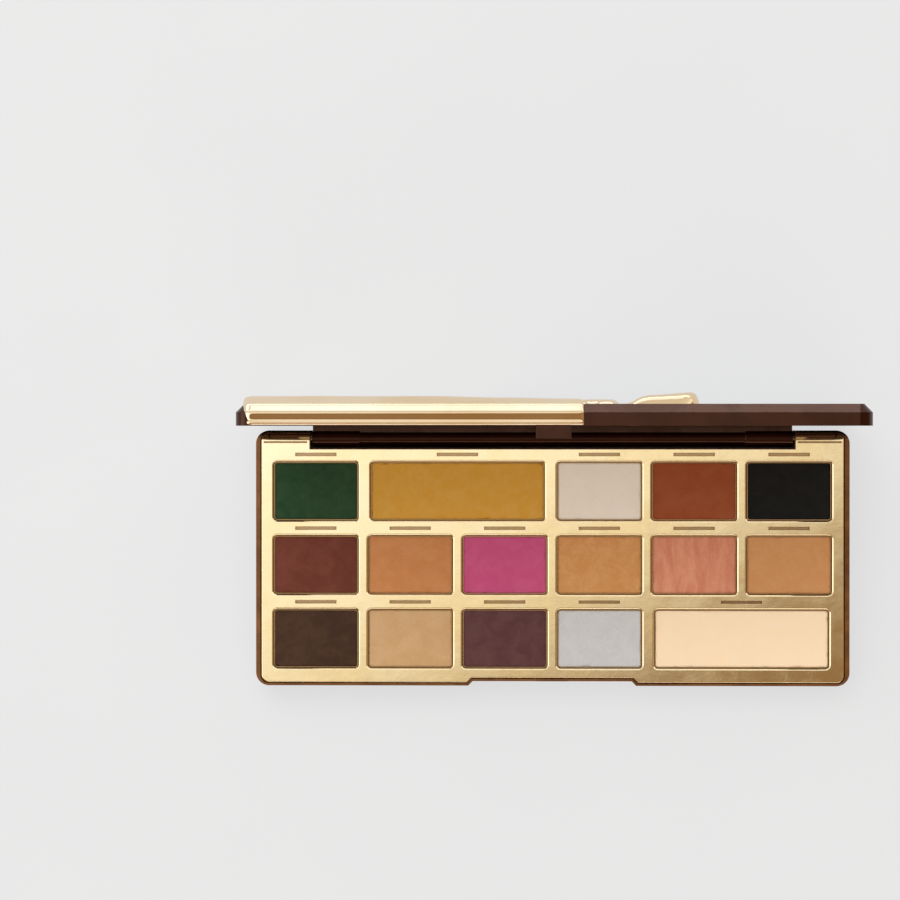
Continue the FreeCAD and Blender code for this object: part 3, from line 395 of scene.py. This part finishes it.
def pressed_height(x, y, half_x, half_y, seed):
    """How far the cake's top is above or below the CAD top: a dome, broken edges, unevenness."""
    edge = min(half_x - abs(x), half_y - abs(y))
    dome = POWDER_DOME * (1 - (x / half_x) ** 2) * (1 - (y / half_y) ** 2)
    soft = SOFT_EDGE * math.exp(-edge / SOFT_EDGE)
    crumble = cake_noise(x, y, seed, CRUMBLE) + 0.45 * cake_noise(x, y, seed, FINE)
    broken = max(0.0, crumble - CHIP_LEVEL)
    chips = broken * 0.8 * math.exp(-(edge / CHIP_REACH) ** 2)
    wave = 0.035 * cake_noise(x, y, seed, WAVE)
    pits = 0.012 * cake_noise(x, y, seed, PITS)
    return dome - soft - chips + wave + pits


def make_powder(name, seed):
    """One pressed powder in place of its CAD solid: an uneven top on straight sides, closed below."""
    node = "powder_" + name
    low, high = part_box(node)
    half_x, half_y = (high.x - low.x) / 2 / MM, (high.y - low.y) / 2 / MM
    middle_x, middle_y = (high.x + low.x) / 2, (high.y + low.y) / 2
    xs, ys = graded(half_x, POWDER_STEP), graded(half_y, POWDER_STEP)
    vertices, faces = [], []
    for y in ys:
        for x in xs:
            px, py = into_corner(x, y, half_x, half_y, POWDER_CORNER)
            top = pressed_height(x, y, half_x, half_y, seed)
            vertices.append((middle_x + px * MM, middle_y + py * MM, high.z + top * MM))
    columns, rows = len(xs), len(ys)
    for row in range(rows - 1):
        for column in range(columns - 1):
            first = row * columns + column
            faces.append((first, first + 1, first + columns + 1, first + columns))
    ring = list(range(columns))
    ring += [r * columns + columns - 1 for r in range(1, rows)]
    ring += [(rows - 1) * columns + c for c in range(columns - 2, -1, -1)]
    ring += [r * columns for r in range(rows - 2, 0, -1)]
    foot = {}
    for index in ring:
        foot[index] = len(vertices)
        vertices.append((vertices[index][0], vertices[index][1], low.z))
    for index, following in zip(ring, ring[1:] + ring[:1]):
        faces.append((index, foot[index], foot[following], following))
    faces.append([foot[index] for index in reversed(ring)])
    piece = make_object("pressed_" + name, vertices, faces)
    piece.data.materials.append(powder_paint(name, *POWDERS[name]))
    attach(piece, "base")
    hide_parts(node)


def make_object(name, vertices, faces):
    """A smooth-shaded mesh object in the scene, with its faces turned outwards."""
    mesh = bpy.data.meshes.new(name)
    mesh.from_pydata([tuple(v) for v in vertices], [], [tuple(f) for f in faces])
    mesh.validate()
    work = bmesh.new()
    work.from_mesh(mesh)
    bmesh.ops.recalc_face_normals(work, faces=work.faces)
    work.to_mesh(mesh)
    work.free()
    mesh.shade_smooth()
    piece = bpy.data.objects.new(name, mesh)
    bpy.context.scene.collection.objects.link(piece)
    return piece


# ---------------------------------------------------------------- melted gold cover
# The cover is drawn on the closed lid, in mm: u runs to the right, v towards the hinge, and h up from the
# lid's parting plane.  w is v measured along the cover's section, which turns down over the lid's front and
# rear edges.
cover_low, cover_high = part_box("gold_drip_cover")
LEFT, RIGHT = cover_low.x / MM, cover_high.x / MM
V_ZERO = (cover_low.z + cover_high.z) / 2 / MM
HALF_V = (cover_high.z - cover_low.z) / 2 / MM
# Heights above the parting plane: the CAD cover's lower edge, this cover's, its face and its swollen tip.
CAD_SKIRT = 1.2
H_ZERO = cover_low.y / MM - CAD_SKIRT
SKIRT = 0.1
TOP = 8.6
BULB_TOP = cover_high.y / MM - H_ZERO
# Radius of the cover's upright corners, the mesh step, and how far in its edge is rounded on the face and
# on the walls.
PLAN_CORNER = 3.3
STEP = 0.42
RIM = 2.6
WALL_RIM = 0.9
# A grid point closer to the outline than this is moved onto it.
SNAP = 0.3 * STEP
# Where the face gives way to the wall, as two distances in from the cover's front and rear.  For the
# rounded edge, for the unevenness of the face and for the upright corners.
RIM_BLEND = (6.5, 4.0)
FACE_BLEND = (8.0, 2.5)
PLAN_BLEND = (7.0, 1.5)
# Slow unevenness of the face: its height, and its cells per mm along u and v.
SWELL = 0.12
SWELL_CELLS = (0.055, 0.075)
SWELL_SEED = 3.7
# Half of the cover's section, from the middle of its face down over the lid's edge: how far in from the
# cover's outer side and how high, on the cover's surface, and the same on the lid under it.
SECTION = [
    ((HALF_V, TOP), (HALF_V, 4.55)),
    ((7.6, TOP), (7.6, 4.55)),
    ((6.0, TOP - 0.1), (6.1, 4.6)),
    ((4.5, TOP - 0.75), (5.3, 6.1)),
    ((2.7, TOP - 1.95), (3.6, 6.2)),
    ((2.05, TOP - 2.2), (3.1, 6.15)),
    ((1.75, 6.2), (3.0, 6.1)),
    ((0.10, 3.95), (0.80, 3.9)),
    ((0.03, 3.75), (0.70, 3.7)),
    ((0.50, 1.45), (0.70, 1.5)),
    ((0.28, 1.15), (0.70, 1.2)),
    ((0.33, SKIRT), (0.70, SKIRT)),
]
# The section's step in mm, and how many steps it is smoothed over.
SECTION_STEP = 0.05
SECTION_BLUR = 17


def round_cone(u, w, start, end, r_start, r_end):
    """Signed distance, positive inside, to a stroke whose half width changes along its length."""
    du, dw = end[0] - start[0], end[1] - start[1]
    t = np.clip(((u - start[0]) * du + (w - start[1]) * dw) / (du * du + dw * dw), 0, 1)
    return r_start + (r_end - r_start) * t - np.hypot(u - start[0] - du * t, w - start[1] - dw * t)


def join(a, b, soft):
    """Smooth union of two distances."""
    share = np.clip(0.5 + 0.5 * (a - b) / soft, 0, 1)
    return b + (a - b) * share + soft * share * (1 - share)


def cut(a, b, soft):
    """a with b taken out of it, smoothly."""
    return -join(-a, b, soft)


def section_table():
    """The section, smoothed and measured along the face: w, outer v and h, inner v and h."""
    points = np.array([[*outer, *inner] for outer, inner in SECTION])
    steps = np.hypot(*np.diff(points[:, :2], axis=0).T)
    run = np.concatenate([[0], np.cumsum(steps)])
    even = np.arange(0, run[-1], SECTION_STEP)
    dense = np.array([np.interp(even, run, column) for column in points.T])
    kernel = np.hanning(SECTION_BLUR)
    kernel /= kernel.sum()
    padded = np.pad(dense, ((0, 0), (SECTION_BLUR // 2, SECTION_BLUR // 2)), mode="edge")
    smoothed = np.array([np.convolve(row, kernel, mode="valid") for row in padded])
    return even, HALF_V - smoothed[0], smoothed[1], HALF_V - smoothed[2], smoothed[3]


SECTION_W, OUTER_V, OUTER_H, INNER_V, INNER_H = section_table()
W_END = SECTION_W[-1]

# The cover's plain field, its longer part at the rear, and the band along the front: where each ends.
FIELD_RIGHT = -27.0
FIELD_REAR_RIGHT = -16.5
FIELD_REAR = 24.0
FIELD_JOIN = 4.0
BAND_RIGHT = 8.6
BAND_REAR = -27.0
BAND_CORNER = 2.6
BAND_JOIN = 2.2
# Strokes of the cover past its plain field: start, end, half width at each, softness of the join.
STROKES = [
    ((-34.0, 30.0), (-10.5, 24.6), 11.0, 9.6, 5.0),
    ((-12.0, 28.0), (-0.8, 28.6), 8.5, 3.9, 3.0),
    ((-3.0, 28.4), (7.0, 28.0), 3.6, 2.2, 2.0),
    ((7.0, 28.0), (13.5, 28.0), 2.1, 2.4, 1.2),
    ((-18.0, 18.6), (-5.4, 18.8), 6.6, 3.5, 2.0),
    ((-4.0, 18.6), (0.2, 18.2), 2.4, 2.0, 1.0),
    ((-29.0, 14.5), (-18.5, 13.4), 8.5, 3.6, 4.0),
    ((-30.0, 5.5), (2.0, 6.0), 8.5, 5.1, 3.5),
    ((2.0, 6.0), (14.6, 5.4), 4.9, 5.6, 2.0),
    ((-36.0, -16.0), (-6.0, -16.6), 8.0, 5.9, 3.5),
    ((-6.0, -16.6), (20.0, -16.0), 5.6, 4.7, 3.0),
    ((20.0, -16.0), (36.2, -16.3), 4.7, 6.3, 2.5),
    ((-32.0, -18.6), (-15.0, -17.6), 6.0, 5.0, 1.5),
    ((-32.0, -31.2), (-11.0, -31.8), 6.9, 4.7, 1.5),
]
# Gaps between the drips, in the same form.
GAPS = [
    ((-30.5, -6.4), (-20.0, -5.6), 1.9, 4.3, 0.8),
    ((-22.5, -25.2), (-6.0, -24.9), 0.7, 2.3, 0.6),
]
# A second layer of melt over the rear of the face: it ends in a crease and in a round scallop.
CREASE_V = 20.7
SCALLOP_AT = (-9.0, 14.5)
SCALLOP_RADIUS = 18.0
LAYER_RISE = 0.45
SCALLOP_SINK = 0.3
# The long drip: middle line and half width, how deep its neck sinks, and the bead that swells on the neck.
DRIP_V = -16.3
DRIP_HALF = 6.0
NECK_SINK = 1.4
BEAD_AT = 15.2
BEAD_HALF = 2.6
# The middle drip's swollen tip: place, size and rise.
SMALL_TIP_AT = (14.5, 5.4)
SMALL_TIP_SIZE = (6.0, 5.0)
SMALL_TIP_RISE = 0.30
# The face falls away twice towards the drips.
SHOULDER_DROP = 0.55
NECK_DROP = 0.35


def cover_distance(u, w):
    """Distance inside the cover's outline, in the unrolled sheet."""
    field = FIELD_RIGHT - u
    rear = np.minimum(FIELD_REAR_RIGHT - u, w - FIELD_REAR)
    shape = join(field, rear, FIELD_JOIN)
    for start, end, r_start, r_end, soft in STROKES:
        shape = join(shape, round_cone(u, w, start, end, r_start, r_end), soft)
    from_right, from_rear = BAND_RIGHT - u, BAND_REAR - w
    past_right = np.maximum(BAND_CORNER - from_right, 0)
    past_rear = np.maximum(BAND_CORNER - from_rear, 0)
    round_band = BAND_CORNER - np.hypot(past_right, past_rear)
    shape = join(shape, np.minimum(np.minimum(from_right, from_rear), round_band), BAND_JOIN)
    for start, end, r_start, r_end, soft in GAPS:
        shape = cut(shape, round_cone(u, w, start, end, r_start, r_end), soft)
    shape = np.minimum(shape, u - LEFT)
    return np.minimum(shape, W_END - np.abs(w))


def profile(w):
    """The cover's outer point (v, h) and the matching point on the lid, for an array of w."""
    side, run = np.sign(w), np.abs(w)
    outer_v, outer_h = np.interp(run, SECTION_W, OUTER_V), np.interp(run, SECTION_W, OUTER_H)
    inner_v, inner_h = np.interp(run, SECTION_W, INNER_V), np.interp(run, SECTION_W, INNER_H)
    return side * outer_v, outer_h, side * inner_v, inner_h


def swell(u, v):
    """Slow unevenness of the melted face, as a share from -1 to 1."""
    out = np.empty(u.shape)
    for index in np.ndindex(u.shape):
        spot = Vector((u[index] * SWELL_CELLS[0], v[index] * SWELL_CELLS[1], SWELL_SEED))
        out[index] = noise.noise(spot)
    return out


def smooth(value, low, high):
    """0 below low, 1 above high, and a smooth step between."""
    t = np.clip((value - low) / (high - low), 0, 1)
    return t * t * (3 - 2 * t)


def on_wall(w, blend):
    """0 on the cover's face and 1 on its walls, with a smooth step between the two distances of blend."""
    return smooth(np.abs(w), HALF_V - blend[0], HALF_V - blend[1])


def drop_of_face(u, v):
    """How far the face lies below the plain field: shoulder, necks, swollen tips and second layer."""
    shoulder = SHOULDER_DROP * smooth(u, -34.0, -14.0)
    along = np.exp(-((v - DRIP_V) / DRIP_HALF) ** 4)
    rise = BULB_TOP - TOP + 0.45
    tip = rise * smooth(u, 21.5, 28.5) * (0.62 + 0.38 * smooth(u, 27.0, 40.0)) * along
    sink = smooth(u, 8.2, 11.0) * smooth(-u, -25.5, -20.0)
    tip -= NECK_SINK * sink * along * (1 - 0.95 * np.exp(-((u - BEAD_AT) / BEAD_HALF) ** 4))
    far_u = (u - SMALL_TIP_AT[0]) / SMALL_TIP_SIZE[0]
    far_v = (v - SMALL_TIP_AT[1]) / SMALL_TIP_SIZE[1]
    tip += SMALL_TIP_RISE * np.exp(-(far_u ** 2 + far_v ** 2))
    neck = NECK_DROP * smooth(u, -12.0, 4.0)
    scallop = SCALLOP_RADIUS - np.hypot(u - SCALLOP_AT[0], v - SCALLOP_AT[1])
    layer = LAYER_RISE * smooth(-np.maximum(CREASE_V - v, scallop), -0.3, 1.1) * smooth(u, -66.0, -46.0)
    basin = SCALLOP_SINK * smooth(scallop, 0.0, 5.0) * smooth(v, 6.0, 16.0)
    return shoulder + neck - tip + basin - layer


def make_cover():
    """The melted gold cover in place of its CAD solid: a grid fills its outline, rounded at the edge."""
    us = np.arange(LEFT, RIGHT + 2 * STEP, STEP)
    ws = np.arange(-W_END - STEP / 2, W_END + STEP, STEP)
    us[0] = LEFT
    grid_u, grid_w = np.meshgrid(us, ws, indexing="ij")
    distance = cover_distance(grid_u, grid_w)
    slope_u, slope_w = np.gradient(distance, us, ws)
    steep = np.hypot(slope_u, slope_w) + 1e-9
    slope_u, slope_w = slope_u / steep, slope_w / steep
    near = np.abs(distance) < SNAP
    grid_u = np.where(near, grid_u - slope_u * distance, grid_u)
    grid_w = np.where(near, grid_w - slope_w * distance, grid_w)
    distance = np.where(near, 0.0, distance)

    spots, index_of = [], {}

    def corner(i, j):
        if (i, j) not in index_of:
            index_of[(i, j)] = len(spots)
            spots.append((grid_u[i, j], grid_w[i, j], distance[i, j], slope_u[i, j], slope_w[i, j]))
        return index_of[(i, j)]

    def crossing(a, b):
        key = (min(a, b), max(a, b))
        if key not in index_of:
            index_of[key] = len(spots)
            t = distance[a] / (distance[a] - distance[b])
            mixed = [float(g[a] + (g[b] - g[a]) * t) for g in (grid_u, grid_w, slope_u, slope_w)]
            spots.append((mixed[0], mixed[1], 0.0, mixed[2], mixed[3]))
        return index_of[key]

    top_faces = []
    for i in range(len(us) - 1):
        for j in range(len(ws) - 1):
            around = [(i, j), (i + 1, j), (i + 1, j + 1), (i, j + 1)]
            if max(distance[a] for a in around) <= 0:
                continue
            face = []
            for a, b in zip(around, around[1:] + around[:1]):
                if distance[a] >= 0:
                    face.append(corner(*a))
                if distance[a] * distance[b] < 0:
                    face.append(crossing(a, b))
            if len(face) >= 3:
                top_faces.append(face)

    u, w, d, gu, gw = np.array(spots).T
    rim = RIM + (WALL_RIM - RIM) * on_wall(w, RIM_BLEND)
    turn = np.clip(d / rim, 0, 1) * math.pi / 2
    shift = np.where(d < rim, rim * (1 - np.cos(turn)) - d, 0.0)
    lift = np.sin(turn)
    v, h, inner_v, inner_h = profile(w + gw * shift)
    u_top = u + gu * shift
    face = 1 - on_wall(w, FACE_BLEND)
    h_top = h - drop_of_face(u, w) * face + SWELL * swell(u, w) * face - SWELL * face
    into_plan_corner = np.maximum(LEFT + PLAN_CORNER - u_top, 0)
    plan = PLAN_CORNER - np.sqrt(np.maximum(PLAN_CORNER ** 2 - into_plan_corner ** 2, 0))
    inward = plan * on_wall(w, PLAN_BLEND) * np.sign(w)
    outer = np.stack([u_top, v - inward, h_top])
    inner = np.stack([u, inner_v - inward, inner_h])
    points = inner + (outer - inner) * lift
    under = {}
    vertices = [to_world(*p) for p in points.T]
    for index in range(len(spots)):
        if d[index] > 0:
            under[index] = len(vertices)
            vertices.append(to_world(*inner[:, index]))
        else:
            under[index] = index
    faces = list(top_faces)
    for one in top_faces:
        below = [under[i] for i in reversed(one)]
        if below != list(reversed(one)):
            faces.append(below)
    piece = make_object("melted_cover", vertices, faces)
    piece.data.materials.append(gold("gold_cover_plastic", *COVER_GOLD, 0.11, 0.35))
    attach(piece, "lid")
    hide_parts("gold_drip_cover")


def to_world(u, v, h):
    """A point of the closed lid, in mm, at its place on the open lid."""
    return u * MM, (H_ZERO + h) * MM, (V_ZERO - v) * MM


# ---------------------------------------------------------------- dressing the CAD pieces
def dress(material, *names):
    """Gives CAD nodes a material."""
    for name in names:
        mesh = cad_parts[name].data
        mesh.materials.clear()
        mesh.materials.append(material)


# The metal's colour in its bright clouds and between them.
INSERT_GOLD = rgb(252, 239, 205), rgb(249, 231, 188)
COVER_GOLD = rgb(241, 221, 191), rgb(235, 209, 172)
RUBBED_LID = (0.17, 0.085, 0.045, 1)
# The case's worn colour, also painted over its top rim as a painted highlight.
CASE_WORN_AND_HIGHLIT = (0.24, 0.105, 0.033, 1)
case_top, insert_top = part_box("base_shell")[1].z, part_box("gold_insert")[1].z

dress(chocolate("chocolate_plastic", RUBBED_LID, 0.55), "lid_shell", "mirror_frame")
dress(chocolate("case_plastic", CASE_WORN_AND_HIGHLIT, 0.9, case_top), "base_shell")
dress(gold("gold_insert_plastic", *INSERT_GOLD, 0.09, 0.5, insert_top - SUNK_FROM), "gold_insert")
dress(tinplate(), *["pan_" + name for name in POWDERS])
dress(mirror_glass(), "mirror")
dress(steel(), "hinge_pin_left", "hinge_pin_right")
dress(paper(), "base_label")
dress(foam("foam_tape", (0.62, 0.61, 0.58, 1), (0.36, 0.35, 0.33, 1), 0.5), "mirror_tape")
dress(foam("glue", (0.62, 0.56, 0.42, 1), (0.45, 0.38, 0.26, 1), 1.4), "pan_glue_dots")
for number, shade in enumerate(POWDERS):
    make_powder(shade, number + 1)
make_cover()


# ---------------------------------------------------------------- stage, light and camera
def add_floor():
    """A plain pale sheet of paper that glows a little, just under the palette."""
    corners = [(-FLOOR_REACH, -FLOOR_REACH, 0), (FLOOR_REACH, -FLOOR_REACH, 0),
               (FLOOR_REACH, FLOOR_REACH, 0), (-FLOOR_REACH, FLOOR_REACH, 0)]
    floor = make_object("floor", corners, [(0, 1, 2, 3)])
    floor.location.z = -FLOOR_DROP
    paint = Paint("floor_paper")
    cloud = paint.span(paint.noise(60.0, 3.0), 0.3, 0.7)
    faint = paint.mix(cloud, (0.155, 0.156, 0.158, 1), (0.16, 0.161, 0.163, 1))
    paint.set(Base_Color=faint, Roughness=0.9, Specular_IOR_Level=0.0, Emission_Color=PALE,
              Emission_Strength=FLOOR_GLOW)
    floor.data.materials.append(paint.material)


def add_backdrop():
    """A pale wall all round that closes the view above the floor; it gives no light and isn't mirrored."""
    ring = []
    for side in range(WALL_SIDES):
        angle = 2 * math.pi * side / WALL_SIDES
        ring.append((WALL_RADIUS * math.cos(angle), WALL_RADIUS * math.sin(angle)))
    low, high = [(x, y, WALL_LOW) for x, y in ring], [(x, y, WALL_HIGH) for x, y in ring]
    faces = [(k, (k + 1) % WALL_SIDES, WALL_SIDES + (k + 1) % WALL_SIDES, WALL_SIDES + k)
             for k in range(WALL_SIDES)]
    wall = make_object("backdrop", low + high, faces)
    paint = Paint("backdrop_paper")
    paint.set(Base_Color=(0, 0, 0, 1), Roughness=1.0, Specular_IOR_Level=0.0,
              Emission_Color=PALE, Emission_Strength=WALL_GLOW)
    wall.data.materials.append(paint.material)
    wall.visible_diffuse = wall.visible_glossy = wall.visible_shadow = False
    wall.visible_transmission = wall.visible_volume_scatter = False


def add_softbox(name, at, aim, size, radiance, tint, mirrored):
    """A rectangular area light of a given brightness, turned to a point; gloss mirrors it or not."""
    data = bpy.data.lights.new(name, "AREA")
    data.shape = "RECTANGLE"
    data.size, data.size_y = size
    data.energy = radiance * math.pi * size[0] * size[1]
    data.color = tint
    light = bpy.data.objects.new(name, data)
    light.location = at
    light.rotation_euler = (Vector(aim) - Vector(at)).to_track_quat("-Z", "Y").to_euler()
    light.visible_camera = False
    light.visible_glossy = mirrored
    bpy.context.scene.collection.objects.link(light)


def set_world():
    """Soft surround: brightest just behind the zenith, softer down to the rear, dim and warm in front."""
    world = bpy.data.worlds.new("studio")
    bpy.context.scene.world = world
    world.use_nodes = True
    tree = world.node_tree
    dot = tree.nodes.new("ShaderNodeVectorMath")
    dot.operation = "DOT_PRODUCT"
    tree.links.new(tree.nodes.new("ShaderNodeTexCoord").outputs["Generated"], dot.inputs[0])
    dot.inputs[1].default_value = WORLD_SLOPE
    spread = tree.nodes.new("ShaderNodeMapRange")
    tree.links.new(dot.outputs["Value"], spread.inputs["Value"])
    spread.inputs["From Min"].default_value, spread.inputs["From Max"].default_value = -1.0, 1.0
    ramp = tree.nodes.new("ShaderNodeValToRGB")
    tree.links.new(spread.outputs["Result"], ramp.inputs["Fac"])
    elements = ramp.color_ramp.elements
    while len(elements) < len(WORLD_STOPS):
        elements.new(0.5)
    for element, (position, colour) in zip(elements, WORLD_STOPS):
        element.position = (position + 1) / 2
        element.color = (*colour, 1)
    back = tree.nodes["Background"]
    tree.links.new(ramp.outputs["Color"], back.inputs["Color"])
    back.inputs["Strength"].default_value = WORLD_STRENGTH


def add_camera():
    """Straight above the palette, a metre up, looking a little past its rear left."""
    data = bpy.data.cameras.new("camera")
    data.sensor_width = 36.0
    data.lens = CAMERA_LENS
    data.clip_start, data.clip_end = 0.05, 200.0
    camera = bpy.data.objects.new("camera", data)
    back = (Vector(CAMERA_AT) - Vector(CAMERA_AIM)).normalized()
    right = Vector((0, 1, 0)).cross(back).normalized()
    up = back.cross(right)
    camera.matrix_world = Matrix.Translation(CAMERA_AT) @ Matrix((right, up, back)).transposed().to_4x4()
    bpy.context.scene.collection.objects.link(camera)
    bpy.context.scene.camera = camera


PALE = (0.985, 1.0, 1.02, 1)
FLOOR_REACH = 12.0
FLOOR_DROP = 0.0002
FLOOR_GLOW = 0.645
WALL_SIDES = 64
WALL_RADIUS = 9.0
WALL_LOW, WALL_HIGH = -0.5, 8.0
WALL_GLOW = 0.8
# The surround's colour by how far a direction points along the slope, -1 to 1.
WORLD_STRENGTH = 1.0
WORLD_SLOPE = (-0.45, 0.89, 0.0)
WORLD_STOPS = [
    (-0.95, (0.62, 0.50, 0.38)),
    (-0.55, (0.42, 0.27, 0.14)),
    (-0.093, (0.26, 0.145, 0.06)),
    (-0.043, (0.98, 0.88, 0.70)),
    (0.06, (1.35, 1.31, 1.22)),
    (0.22, (0.95, 0.90, 0.80)),
    (0.80, (0.80, 0.76, 0.69)),
    (0.97, (0.88, 0.84, 0.77)),
]
# Lights: name, place, what it is turned to, size, radiance, tint, whether gloss mirrors it.
SOFTBOXES = [
    ("key_softbox", (-0.45, 0.95, 0.80), (0, 0, 0), (1.25, 0.65), 1.22, (1.0, 0.97, 0.92), False),
    ("rear_strip", (-0.3, 1.25, 0.52), (0, 0, 0), (1.5, 0.24), 0.95, (0.6, 0.8, 1.0), True),
    ("side_softbox", (-1.0, -0.1, 0.7), (0, 0, 0), (0.5, 0.7), 1.2, (1.0, 0.98, 0.95), True),
    ("fill_softbox", (0.15, -1.05, 0.75), (0, 0, 0), (1.15, 0.6), 1.41, (1.0, 0.97, 0.93), True),
    ("horizon_strip", (-0.2, 2.0, 0.17), (0, 0, 0.05), (4.0, 0.3), 2.3, (1.0, 0.98, 0.95), True),
    ("soft_top", (-0.5, 0.9, 1.3), (0, 0, 0), (1.2, 1.2), 1.95, (0.99, 0.985, 0.99), False),
]
CAMERA_LENS = 130.0
CAMERA_AT = (-0.006, 0.040, 0.995)
CAMERA_AIM = (-0.031, 0.0328, 0.0088)

set_world()
for softbox in SOFTBOXES:
    add_softbox(*softbox)
add_floor()
add_backdrop()
add_camera()
bpy.context.scene.view_settings.view_transform = "Standard"
